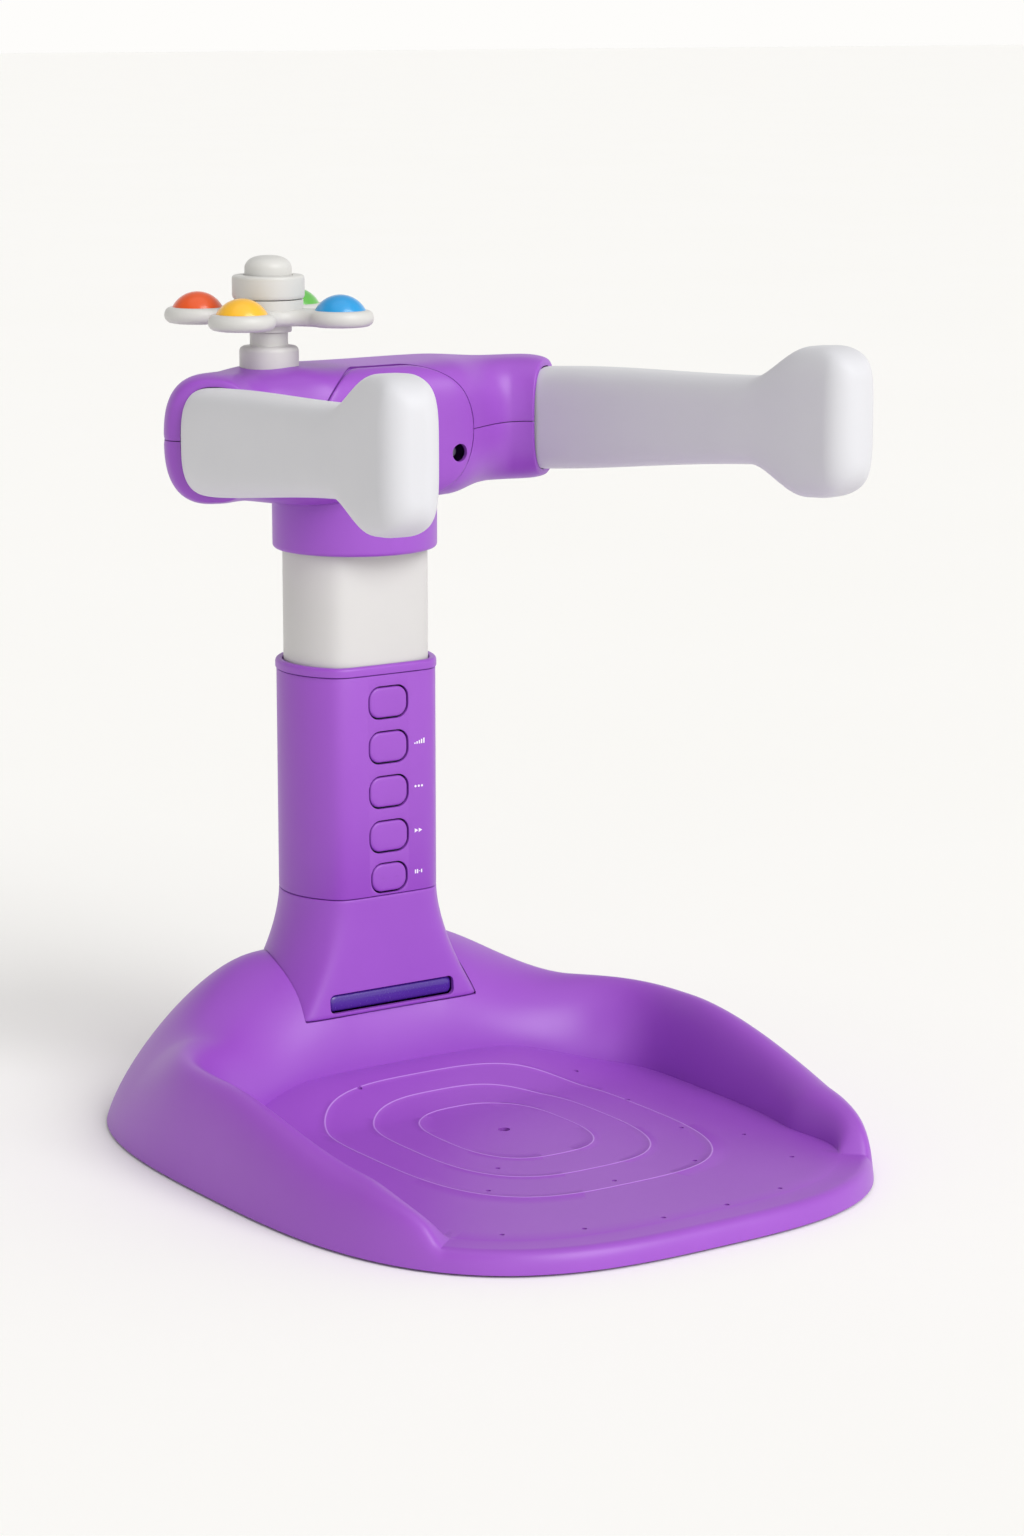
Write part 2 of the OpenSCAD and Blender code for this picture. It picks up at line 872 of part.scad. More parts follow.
module spinner_base() {
    color(WHITE)
        difference() {
            at_spinner(0)
                rotate_extrude()
                    polygon([
                        [5.2, base_z], [24, base_z], [24, base_z + 16], [21, base_z + 19],
                        [15, base_z + 20], [15, 648], [5.2, 648]
                    ]);
            translate([0, column_y, gap / 2])
                loft([
                    for (k = [-10:-2])
                        [for (i = [0:27]) yoke_point(k / 12, 360 * i / 28, -gap)]
                ]);
        }
}

module spinner_axle() {
    color(STEEL)
        at_spinner(592) {
            cylinder(h = 94, r = 4.9);
            translate([0, 0, -3]) cylinder(h = 3 + eps, r = 9, $fn = 6);
        }
}

module spinner_petals() {
    color(WHITE)
        at_spinner(0)
            difference() {
                union() {
                    translate([0, 0, 648.3]) cylinder(h = petal_z - 648.3 + 1, r = 19);
                    translate([0, 0, petal_z])
                        linear_extrude(petal_t)
                            union() {
                                circle(27.5);
                                for (k = [0:3])
                                    rotate(petal_turn + 90 * k) {
                                        translate([petal_reach, 0]) circle(26);
                                        translate([0, -13]) square([petal_reach, 26]);
                                    }
                            }
                    translate([0, 0, petal_z + petal_t - eps]) cylinder(h = 8, r = 27.5);
                }
                translate([0, 0, 640]) cylinder(h = 60, r = 4.98);
                for (k = [0:3])
                    rotate(petal_turn + 90 * k)
                        translate([petal_reach, 0, petal_z + petal_t - 3])
                            cylinder(h = 10, r = dome_d / 2 + 0.1);
            }
}

module spinner_hub_ring() {
    color(WHITE)
        at_spinner(petal_z + petal_t + 8)
            difference() {
                cylinder(h = 19, r = 29);
                translate([0, 0, 8]) cylinder(h = 20, r = 19);
                translate([0, 0, -1]) cylinder(h = 20, r = 5.2);
            }
}

knob_travel = 3;

module spinner_knob() {
    color(WHITE)
        at_spinner(petal_z + petal_t + 17 + knob_travel)
            difference() {
                rotate_extrude()
                    intersection() {
                        union() {
                            square([18.5, 7]);
                            translate([0, 7]) intersection() {
                                translate([0, -12]) circle(22);
                                square([18.5, 20]);
                            }
                        }
                        square([40, 40]);
                    }
                translate([0, 0, -1]) cylinder(h = 6, r = 5.4);
            }
}

// A coloured dome in the petal that lies k quarter turns from the blue one.
module dome(k) {
    at_spinner(petal_z + petal_t - 3 + eps)
        rotate(petal_turn + 90 * k)
            translate([petal_reach, 0, 0])
                rotate_extrude()
                    intersection() {
                        translate([0, -10]) circle(dome_d * 0.6);
                        square([dome_d / 2, 40]);
                    }
}

module dome_blue() { color("#2fa3dc") dome(0); }
module dome_green() { color("#5fb24a") dome(1); }
module dome_orange() { color("#e8622a") dome(2); }
module dome_yellow() { color("#f7c23c") dome(3); }

base_tray();
bottom_cover();
rubber_feet();
bottom_cover_screws();
column_socket();
socket_bolts();
pedestal();
release_bar();
release_bar_springs();
column_shell();
column_rear_cover();
rear_cover_screws();
bezel_ring();
button_1();
button_2();
button_3();
button_4();
button_5();
circuit_board();
button_switches();
speaker();
battery_box();
batteries();
battery_door();
mast_sleeve();
mast_seat();
lower_guide_bush();
bounce_spring();
plunger_rod();
stop_washer();
spring_cap();
head_plate();
collar();
collar_bush();
bush_screw();
yoke_lower_shell();
yoke_upper_shell();
head_front_cover();
cover_screws();
left_arm_core();
right_arm_core();
left_arm_grip();
right_arm_grip();
spinner_base();
spinner_axle();
spinner_petals();
spinner_hub_ring();
spinner_knob();
dome_orange();
dome_yellow();
dome_blue();
dome_green();
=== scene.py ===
"""Activity jumper: the looks around its CAD frame.
Lengths inside the shape functions are millimetres in the part's own frame:
+X to its right, -Y to its open front, +Z up."""

import json
from math import atan2, cos, pi, radians, sin, sqrt, tau

import bmesh
import bpy
import numpy as np
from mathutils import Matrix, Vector


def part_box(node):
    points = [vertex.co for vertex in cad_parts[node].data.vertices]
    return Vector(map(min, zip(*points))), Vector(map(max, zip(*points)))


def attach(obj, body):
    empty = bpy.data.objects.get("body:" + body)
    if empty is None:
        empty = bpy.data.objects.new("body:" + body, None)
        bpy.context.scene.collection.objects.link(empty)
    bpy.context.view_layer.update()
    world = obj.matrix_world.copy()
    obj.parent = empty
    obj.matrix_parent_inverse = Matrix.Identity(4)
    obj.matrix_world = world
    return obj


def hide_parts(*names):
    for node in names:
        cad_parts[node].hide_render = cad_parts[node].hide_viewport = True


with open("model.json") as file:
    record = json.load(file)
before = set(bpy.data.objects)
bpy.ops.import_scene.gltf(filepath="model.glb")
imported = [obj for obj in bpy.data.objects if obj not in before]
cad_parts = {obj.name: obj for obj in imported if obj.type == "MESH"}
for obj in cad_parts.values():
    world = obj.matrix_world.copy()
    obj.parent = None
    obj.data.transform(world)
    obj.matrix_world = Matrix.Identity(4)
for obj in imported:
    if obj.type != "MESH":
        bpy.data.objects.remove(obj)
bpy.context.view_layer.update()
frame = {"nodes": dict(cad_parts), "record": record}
MM = 0.001


# --- camera ---------------------------------------------------------------------

CAMERA_AZIMUTH = radians(-34.5)
CAMERA_ELEVATION = radians(11.4)
CAMERA_DISTANCE = 3.2
CAMERA_TARGET = Vector((0.121, 0.131, 0.276))
CAMERA_LENS = 89.06


def make_camera():
    """A long lens that looks slightly down at the object from its front left."""
    data = bpy.data.cameras.new("camera")
    data.lens = CAMERA_LENS
    camera = bpy.data.objects.new("camera", data)
    bpy.context.scene.collection.objects.link(camera)
    away = Vector((
        -sin(CAMERA_AZIMUTH) * cos(CAMERA_ELEVATION),
        cos(CAMERA_AZIMUTH) * cos(CAMERA_ELEVATION),
        -sin(CAMERA_ELEVATION),
    ))
    camera.location = CAMERA_TARGET - CAMERA_DISTANCE * away
    camera.rotation_euler = away.to_track_quat("-Z", "Y").to_euler()
    bpy.context.scene.camera = camera


make_camera()


# --- materials -------------------------------------------------------------------

def linear(hex_colour):
    """A linear RGBA colour from an sRGB hex value."""
    parts = [int(hex_colour[i:i + 2], 16) / 255 for i in (1, 3, 5)]
    return tuple(c / 12.92 if c <= 0.04045 else ((c + 0.055) / 1.055) ** 2.4 for c in parts) + (1,)


def add_node(tree, kind, inputs=None, **settings):
    """A node with its settings, whose inputs are values or other nodes' outputs."""
    node = tree.nodes.new(kind)
    for key, value in settings.items():
        setattr(node, key, value)
    for key, value in (inputs or {}).items():
        if isinstance(value, bpy.types.NodeSocket):
            tree.links.new(value, node.inputs[key])
        else:
            node.inputs[key].default_value = value
    return node


def moulded(name, light, dark, grain_mm, grain_depth_mm, roughness, rough_spread=0.05, ior=1.5,
            sheen=0.0, coat=0.0, line_highlight=None, metal=0.0, flow_mm=90):
    """A surface with a fine grain, a slow change of tone, and small changes of gloss.
    The grain is the mould's texture, and the tone is the material's own flow."""
    material = bpy.data.materials.new(name)
    material.use_nodes = True
    tree = material.node_tree
    tree.nodes.clear()
    place = add_node(tree, "ShaderNodeTexCoord").outputs["Object"]
    flow = add_node(tree, "ShaderNodeTexNoise", {"Vector": place, "Scale": 1 / (flow_mm * MM),
                                                 "Detail": 3.0, "Roughness": 0.55})
    tone = add_node(tree, "ShaderNodeMix",
                    {0: flow.outputs["Fac"], 6: linear(dark), 7: linear(light)}, data_type="RGBA")
    colour = tone.outputs[2]
    # Painted highlight: a lighter colour mixed in by the mesh's per-point weight, standing in for
    # the light that the tray's raised floor lines catch.
    if line_highlight:
        highlight_weight = add_node(tree, "ShaderNodeAttribute", attribute_name="line_highlight_weight").outputs["Fac"]
        highlighted = add_node(tree, "ShaderNodeMix", {0: highlight_weight, 6: colour, 7: linear(line_highlight)},
                          data_type="RGBA")
        colour = highlighted.outputs[2]
    grain = add_node(tree, "ShaderNodeTexNoise", {"Vector": place, "Scale": 1 / (grain_mm * MM),
                                                  "Detail": 2.0, "Roughness": 0.6})
    gloss = add_node(tree, "ShaderNodeMapRange",
                     {"Value": grain.outputs["Fac"], "To Min": roughness - rough_spread,
                      "To Max": roughness + rough_spread})
    bump = add_node(tree, "ShaderNodeBump", {"Height": grain.outputs["Fac"], "Strength": 0.6,
                                             "Distance": grain_depth_mm * MM})
    shader = add_node(tree, "ShaderNodeBsdfPrincipled",
                      {"Base Color": colour, "Roughness": gloss.outputs["Result"],
                       "Normal": bump.outputs["Normal"], "IOR": ior, "Sheen Weight": sheen,
                       "Coat Weight": coat, "Coat Roughness": 0.15, "Metallic": metal})
    add_node(tree, "ShaderNodeOutputMaterial", {"Surface": shader.outputs["BSDF"]})
    return material


# Injection-moulded ABS in purple, satin from a spark-eroded mould: broad soft highlights. Its
# lighter purple on the tray's raised floor lines is a painted highlight.
PURPLE = moulded("purple_moulded_abs", "#9a50c2", "#9249ba", grain_mm=0.8, grain_depth_mm=0.03,
                 roughness=0.40, line_highlight="#ba86dc")
# The same ABS moulded in a polished tool, in indigo: the push bar shines more than the shell.
INDIGO = moulded("indigo_polished_abs", "#4c2496", "#421c86", grain_mm=1.2, grain_depth_mm=0.01,
                 roughness=0.26, coat=0.3)
# Warm white ABS of the mast and the toy, satin.
WHITE = moulded("white_moulded_abs", "#cfcecb", "#c9c8c4", grain_mm=0.8, grain_depth_mm=0.02,
                roughness=0.42)
# Cooler white soft-touch elastomer moulded over the arms: matte, with a faint sheen at its edges.
ARM_WHITE = moulded("white_soft_touch_tpe", "#d3d3d7", "#cdcdd2", grain_mm=0.9, grain_depth_mm=0.03,
                    roughness=0.55, sheen=0.15)
# Glossy domes, moulded in coloured ABS with polished faces.
ORANGE = moulded("orange_polished_abs", "#e25616", "#da4d10", grain_mm=1.5, grain_depth_mm=0.008,
                 roughness=0.3, coat=0.4)
YELLOW = moulded("yellow_polished_abs", "#f6bd2c", "#f0b322", grain_mm=1.5, grain_depth_mm=0.008,
                 roughness=0.3, coat=0.4)
BLUE = moulded("blue_polished_abs", "#219ad8", "#168fd0", grain_mm=1.5, grain_depth_mm=0.008,
               roughness=0.3, coat=0.4)
GREEN = moulded("green_polished_abs", "#66b850", "#5aad45", grain_mm=1.5, grain_depth_mm=0.008,
                roughness=0.3, coat=0.4)
# Black ABS of the hidden brackets and the bottom cover, with a coarse mould texture.
CHARCOAL = moulded("charcoal_textured_abs", "#303035", "#27272c", grain_mm=0.7, grain_depth_mm=0.05,
                   roughness=0.55)
# Moulded rubber of the feet: nearly black and dull.
RUBBER = moulded("black_moulded_rubber", "#2a2a2c", "#222224", grain_mm=0.6, grain_depth_mm=0.04,
                 roughness=0.8)
# Zinc-plated steel of screws, rods and the spring: bright, with a fine drawn grain.
STEEL = moulded("zinc_plated_steel", "#c3c6cc", "#aeb2b8", grain_mm=0.6, grain_depth_mm=0.01,
                roughness=0.32, metal=1.0)
# Green solder mask over a glass-fibre board.
BOARD = moulded("green_solder_mask", "#33724b", "#2a6341", grain_mm=0.5, grain_depth_mm=0.02,
                roughness=0.35)
# Printed film around the dry cells.
FILM = moulded("battery_printed_film", "#cda63e", "#c29a35", grain_mm=1.5, grain_depth_mm=0.005,
               roughness=0.3)
# White ink of the pad-printed signs beside the buttons.
INK = moulded("white_pad_print_ink", "#f4effa", "#ece4f6", grain_mm=0.5, grain_depth_mm=0.004,
              roughness=0.5)

SLOT_MATERIALS = {
    "purple": PURPLE, "indigo": INDIGO, "white": WHITE, "arm_white": ARM_WHITE,
    "charcoal": CHARCOAL, "rubber": RUBBER, "steel": STEEL, "board": BOARD, "battery": FILM,
    "orange": ORANGE, "yellow": YELLOW, "blue": BLUE, "green": GREEN,
}


def dress_cad_nodes():
    """Every carried CAD node gets the finish of its slot in the record."""
    for part in frame["record"]["subparts"]:
        obj = frame["nodes"][part["node"]]
        obj.data.materials.clear()
        obj.data.materials.append(SLOT_MATERIALS[part["material_slot"]])


dress_cad_nodes()


# --- mesh building ----------------------------------------------------------------

def mix(a, b, t):
    """The value a share t of the way from a to b."""
    return a + (b - a) * t


def smooth(u):
    """A soft step from 0 to 1 as u goes from 0 to 1."""
    u = min(1.0, max(0.0, u))
    return u * u * (3 - 2 * u)


def signed_pow(v, p):
    """A power that keeps the sign."""
    return (1 if v >= 0 else -1) * abs(v) ** p


def superellipse(a, b, n, angle):
    """Point of an ellipse (n = 2) or of a squarer ring (n > 2)."""
    return np.array([a * signed_pow(cos(angle), 2 / n), b * signed_pow(sin(angle), 2 / n)])


def bezier(p, t):
    """Point of a cubic curve with four control points."""
    return ((1 - t) ** 3 * p[0] + 3 * (1 - t) ** 2 * t * p[1]
            + 3 * (1 - t) * t * t * p[2] + t ** 3 * p[3])


def bezier_slope(p, t):
    """Direction of that curve, with its length."""
    return (3 * (1 - t) ** 2 * (p[1] - p[0]) + 6 * (1 - t) * t * (p[2] - p[1])
            + 3 * t * t * (p[3] - p[2]))


def ring_faces(rows, n, wrap_rows=False):
    """Quads between closed rings of n points."""
    faces = []
    for r in range(rows if wrap_rows else rows - 1):
        s = (r + 1) % rows
        faces += [(r * n + i, r * n + (i + 1) % n, s * n + (i + 1) % n, s * n + i)
                  for i in range(n)]
    return faces


SHARP_ANGLE = radians(38)       # edges that turn further than this are shaded as creases
SOFTEN_ANGLE = radians(52)      # edges that turn further than this are rounded after a cut


def shade(mesh):
    """Smooth shading with creases."""
    mesh.shade_smooth()
    mesh.set_sharp_from_angle(angle=SHARP_ANGLE)


def finish_mesh(mesh):
    """Consistent outward faces and smooth shading with creases."""
    work = bmesh.new()
    work.from_mesh(mesh)
    bmesh.ops.recalc_face_normals(work, faces=work.faces)
    work.to_mesh(mesh)
    work.free()
    shade(mesh)


def make_piece(name, points, faces, material, body, stands_for=(), line_highlight=None):
    """A smooth-shaded mesh from points in millimetres, riding its body."""
    mesh = bpy.data.meshes.new(name)
    mesh.from_pydata([tuple(MM * float(c) for c in p) for p in points], [], faces)
    mesh.validate()
    finish_mesh(mesh)
    # Per-point weight of the painted highlight, which lightens the tray's raised floor lines.
    if line_highlight is not None:
        layer = mesh.attributes.new("line_highlight_weight", "FLOAT", "POINT")
        layer.data.foreach_set("value", np.array(line_highlight, np.float32))
    mesh.materials.append(material)
    obj = bpy.data.objects.new(name, mesh)
    bpy.context.scene.collection.objects.link(obj)
    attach(obj, body)
    if stands_for:
        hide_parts(*stands_for)
    return obj


def skin(name, rings, material, body, stands_for=(), wrap=False, line_highlight=None):
    """A piece over closed rings of equal length, with flat ends unless the rings wrap round."""
    n = len(rings[0])
    faces = ring_faces(len(rings), n, wrap)
    if not wrap:
        faces += [tuple(range(n)), tuple(range((len(rings) - 1) * n, len(rings) * n))]
    return make_piece(name, [p for ring in rings for p in ring], faces, material, body,
                      stands_for, line_highlight)


def modified(obj, kind, **settings):
    """Runs one modifier on a piece and keeps its result as the piece's own mesh."""
    modifier = obj.modifiers.new(kind, kind)
    for key, value in settings.items():
        setattr(modifier, key, value)
    bpy.context.view_layer.update()
    evaluated = obj.evaluated_get(bpy.context.evaluated_depsgraph_get())
    mesh = bpy.data.meshes.new_from_object(evaluated)
    obj.modifiers.clear()
    obj.data = mesh
    return obj


def cut(obj, cutters):
    """Takes closed cutters, given as (points, faces), out of a piece.
    Cutters of one call must not overlap each other."""
    points, faces = [], []
    for p, f in cutters:
        start = len(points)
        points += list(p)
        faces += [tuple(i + start for i in face) for face in f]
    mesh = bpy.data.meshes.new("cutter")
    mesh.from_pydata([tuple(MM * float(c) for c in p) for p in points], [], faces)
    finish_mesh(mesh)
    tool = bpy.data.objects.new("cutter", mesh)
    bpy.context.scene.collection.objects.link(tool)
    modified(obj, "BOOLEAN", operation="DIFFERENCE", object=tool, solver="MANIFOLD")
    bpy.data.objects.remove(tool)
    return obj


def soften(obj, width_mm, segments=3):
    """Rounds the edges that a cut left."""
    modified(obj, "BEVEL", width=width_mm * MM, segments=segments, limit_method="ANGLE",
             angle_limit=SOFTEN_ANGLE, use_clamp_overlap=True, miter_outer="MITER_ARC")
    shade(obj.data)


def prism(outline, start, along):
    """A closed bar: an outline of 3-D points, swept from start by the vector along."""
    n = len(outline)
    low = [np.array(start) + p for p in outline]
    high = [p + np.array(along) for p in low]
    faces = ring_faces(2, n) + [tuple(range(n)), tuple(range(n, 2 * n))]
    return low + high, faces


def upright(outline):
    """An outline of (across, up) pairs as 3-D points in a plane that faces the front."""
    return [np.array([x, 0.0, z]) for x, z in outline]


def circle_points(radius, n, normal="z"):
    flat = [(radius * cos(tau * i / n), radius * sin(tau * i / n)) for i in range(n)]
    return [np.array([x, y, 0.0]) for x, y in flat] if normal == "z" else upright(flat)


def rounded_rect(w, h, r, corner_steps=10):
    """Points of a rounded rectangle, in order."""
    points = []
    for k, (sx, sy) in enumerate(((1, 1), (-1, 1), (-1, -1), (1, -1))):
        for i in range(corner_steps + 1):
            a = pi / 2 * (k + i / corner_steps)
            points.append((sx * (w / 2 - r) + r * cos(a), sy * (h / 2 - r) + r * sin(a)))
    return points


def turned(name, profile, centre, material, body, stands_for=(), n=128, wrap=False):
    """A turned piece from (radius, height) points, round a vertical axis through centre."""
    rings = [[(centre[0] + r * cos(tau * i / n), centre[1] + r * sin(tau * i / n), centre[2] + z)
              for i in range(n)] for r, z in profile]
    return skin(name, rings, material, body, stands_for, wrap)


def rounded_profile(corners, steps=6):
    """A polyline of (radius, height, rounding) corners, with each corner rounded to an arc."""
    points = []
    for k, (x, y, r) in enumerate(corners):
        here = np.array([x, y], float)
        if r == 0 or k in (0, len(corners) - 1):
            points.append(tuple(here))
            continue
        a = np.array(corners[k - 1][:2], float) - here
        b = np.array(corners[k + 1][:2], float) - here
        start = here + r * a / np.linalg.norm(a)
        end = here + r * b / np.linalg.norm(b)
        for i in range(steps + 1):
            t = i / steps
            points.append(tuple((1 - t) ** 2 * start + 2 * (1 - t) * t * here + t * t * end))
    return points


# --- tray -------------------------------------------------------------------------

COLUMN_Y = 184.0
FLOOR_Z = 20.0
LIFT = 2.0                      # the tray's rim stands this high on its feet
TRAY_WALL = 3.5
OUTLINE_N = 3                   # squareness of the tray's outline
CREST_BACK = (229, 216, 2.2)    # half width, half depth and squareness of the crest round the back
FLOOR_BACK = (207, 120, 2.6)    # and of the floor's edge round the back
WALL_START, WALL_FULL = -246, -172      # Y where the walls leave the front lip, and stand full
WALL_FRONT_Z, WALL_RISE = 51, 35        # their height at the front, and their rise to the back
SHOULDER, RAMP = 43, 22                 # the rise at the pedestal, and the floor's rise before it
PEDESTAL_BOTTOM = 86.0
SEAM_Z = 182.0                  # where the column stands on its pedestal
COLUMN_R, COLUMN_FLAT = 66.0, 50.0      # the column's radius, and its flat front's distance
SEAM_GAP = 0.35

TRAY_LOW, TRAY_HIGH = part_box("base_tray")
HALF_W = (TRAY_HIGH.x - TRAY_LOW.x) / 2 / MM
HALF_D = (TRAY_HIGH.y - TRAY_LOW.y) / 2 / MM


def wall_height(y):
    """Height of the wall's crest: it climbs off the front lip in an arc, then rises to the back."""
    if y < WALL_START:
        return FLOOR_Z - 1
    top = WALL_FRONT_Z + WALL_RISE * smooth((y + 215) / 240)
    climb = sqrt(1 - (max(0, WALL_FULL - y) / (WALL_FULL - WALL_START)) ** 2)
    return FLOOR_Z - 1 + (top - FLOOR_Z + 1) * climb


def floor_height(p):
    """Height of the floor, which ramps up to the pedestal."""
    return FLOOR_Z + RAMP * smooth((p[1] - 30) / 90) * (1 - 0.75 * smooth((abs(p[0]) - 90) / 110))


def outline_angle(direction):
    """The superellipse's own angle for a true direction from the tray's middle."""
    c, s = cos(direction), sin(direction)
    t = (abs(s) / HALF_D) ** (OUTLINE_N / 2), (abs(c) / HALF_W) ** (OUTLINE_N / 2)
    return atan2(t[0] * (1 if s >= 0 else -1), t[1] * (1 if c >= 0 else -1))


def lifted(p, z):
    """A plan point at a height."""
    return np.array([p[0], p[1], z])


def on_ray(a, b, n, direction):
    """Point of a superellipse in a true direction from its middle."""
    x, y = cos(direction), sin(direction)
    reach = (abs(x / a) ** n + abs(y / b) ** n) ** (-1 / n)
    return np.array([reach * x, reach * y])


def wall_curves(direction):
    """The two curves of the tray's wall in one direction: outside up to the crest, down inside."""
    o = on_ray(HALF_W, HALF_D, OUTLINE_N, direction)
    y = o[1]
    normal = np.array([signed_pow(o[0] / HALF_W, 2) / HALF_W, signed_pow(y / HALF_D, 2) / HALF_D])
    normal /= np.linalg.norm(normal)
    back = smooth((y - 40) / 250)
    side = smooth((y - WALL_START) / 85)
    inset = mix(11, 26, side)
    c = mix(o - inset * normal, on_ray(*CREST_BACK, direction), smooth((y + 10) / 200))
    crest_z = wall_height(y) + SHOULDER * smooth((y - 60) / 60) * smooth((185 - abs(c[0])) / 110)
    f = mix(o - (inset + mix(17, 24, side)) * normal, on_ray(*FLOOR_BACK, direction),
            smooth((y + 60) / 180))
    d, e = o - c, f - c
    length, span = np.linalg.norm(d), np.linalg.norm(e)
    reach_out = min(mix(17, 0.45 * length, back), 0.75 * length)
    reach_in = min(mix(17, 0.7 * span, back), 0.7 * span)
    rise, foot = crest_z - LIFT, floor_height(f)
    outer = [
        lifted(o, LIFT),
        lifted(o - mix(0.05, 0.12, back) * d, LIFT + mix(0.6, 0.35, back) * rise),
        lifted(c + reach_out * d / length, crest_z),
        lifted(c, crest_z),
    ]
    inner = [
        lifted(c, crest_z),
        lifted(c + reach_in * e / span, crest_z),
        lifted(f - mix(0.05, 0.02, back) * e, foot + mix(0.3, 0.48, back) * (crest_z - foot)),
        lifted(f, foot),
    ]
    return outer, inner, f


FLOOR_MIDDLE = np.array([2.5, -30.0])
# The raised lines, lightened with a painted highlight: half width, depth to the front and to the
# back, and squareness
LINE_SIZES = [(130, 172, 124, 3.2), (92, 125, 99, 3.0), (57, 79, 72, 2.8)]
LINE_HALF_WIDTH, LINE_HEIGHT = 0.8, 0.4
DRAIN_R = 5.0
HOLE_R = 2.0
# Through holes of the floor, as (X, Y)
HOLES = [(124, 142), (140, 63), (134, -19), (123, -107), (153, -150), (147, -219), (78, -184),
         (89, -277), (31, -286), (-27, -284), (-91, -272), (-149, -249), (-98, -156),
         (-60, -113), (-4, -190), (-59, 89), (-85, 146)]


def line_point(size, grow, angle):
    """Point on one of the raised lines: half width, front and back half depths, and squareness."""
    half_x, front, back, n = size
    return FLOOR_MIDDLE + superellipse(half_x + grow, (back if sin(angle) > 0 else front) + grow, n,
                                       angle)


def tray_column(direction):
    """Points from the tray's rim to its drain hole in one direction, each with its weight of
    painted highlight (1 on the raised lines' tops).
    """
    angle = outline_angle(direction)
    outer, inner, f = wall_curves(direction)
    curve_steps, floor_steps = 26, 6
    points = [bezier(outer, k / curve_steps) for k in range(curve_steps + 1)]
    points += [bezier(inner, k / curve_steps) for k in range(1, curve_steps + 1)]

    def cross_floor(start, end):
        for k in range(1, floor_steps + 1):
            p = mix(start, end, k / floor_steps)
            points.append(lifted(p, floor_height(p)))

    highlighted = []
    start = f
    for size in LINE_SIZES:
        cross_floor(start, line_point(size, LINE_HALF_WIDTH, angle))
        for offset in (0.3, -0.3):
            highlighted.append(len(points))
            p = line_point(size, offset, angle)
            points.append(lifted(p, floor_height(p) + LINE_HEIGHT))
        start = line_point(size, -LINE_HALF_WIDTH, angle)
        points.append(lifted(start, floor_height(start)))
    cross_floor(start, line_point((DRAIN_R, DRAIN_R, DRAIN_R, 2), 0, angle))
    return points, [1.0 if k in highlighted else 0.0 for k in range(len(points))]


def bell_r(z):
    """Radius of the pedestal, which flares downwards."""
    return COLUMN_R + 30 * (max(0.0, SEAM_Z - z) / 90) ** 1.7


def bell_flat(z):
    """Distance of the pedestal's flat front from the column's axis."""
    return COLUMN_FLAT + 4.5 * (max(0.0, SEAM_Z - z) / 96) ** 1.7


def d_section(radius, flat, z, n, soft=3.4, centre_y=COLUMN_Y):
    """A ring of the column's D-shaped section, with soft corners."""
    ring = []
    for i in range(n):
        a = tau * i / n
        towards_front = -sin(a)
        r = radius
        if towards_front > 0.05:
            r = -soft * np.log(np.exp(-radius / soft) + np.exp(-flat / towards_front / soft))
        ring.append((r * cos(a), centre_y + r * sin(a), z))
    return ring


def bell_tool(grow, bottom, top):
    """A closed mesh of the pedestal's outer form, grown outwards."""
    n, rows = 160, 24
    rings = [d_section(bell_r(z) + grow, bell_flat(z) + grow, z, n)
             for z in np.linspace(bottom, top, rows)]
    return ([p for ring in rings for p in ring],
            ring_faces(rows, n) + [tuple(range(n)), tuple(range((rows - 1) * n, rows * n))])


def shell_of(columns, thickness):
    """A closed shell from a grid of surface points, thickened inwards by its own normals."""
    grid = np.array([column for column, _ in columns]).transpose(1, 0, 2)
    around = np.roll(grid, -1, axis=1) - np.roll(grid, 1, axis=1)
    across = np.gradient(grid, axis=0)
    normal = np.cross(around, across)
    normal /= np.linalg.norm(normal, axis=2)[..., None]
    under = grid - thickness * normal
    under[0, :, 2] = grid[0, :, 2]      # the rim's foot stays level
    return list(grid) + list(under[::-1])


def make_tray():
    """The moulded tray, open under the pedestal, with its small through holes."""
    around = 360
    columns = [tray_column(tau * (i + 0.5) / around) for i in range(around)]
    rings = shell_of(columns, TRAY_WALL)
    # The painted highlight's weight: on the raised lines of the top face, none on the underside.
    line_highlight = [[columns[i][1][r] for i in range(around)] for r in range(len(columns[0][0]))]
    line_highlight = [m for row in line_highlight for m in row] + [0.0] * (len(line_highlight) * around)
    tray = skin("tray_shell", rings, PURPLE, "root", ["base_tray"], wrap=True, line_highlight=line_highlight)
    holes = [prism(circle_points(HOLE_R, 20), (x, y, 0), (0, 0, 60)) for x, y in HOLES]
    cut(tray, holes + [bell_tool(0.7, PEDESTAL_BOTTOM - 0.9, 150)])
    shade(tray.data)


make_tray()


# --- pedestal and its push bar -------------------------------------------------------

SLOT_Z = 97.0
SLOT_W, SLOT_H, SLOT_CORNER = 122.0, 16.0, 5.0
PEDESTAL_WALL = 4.0


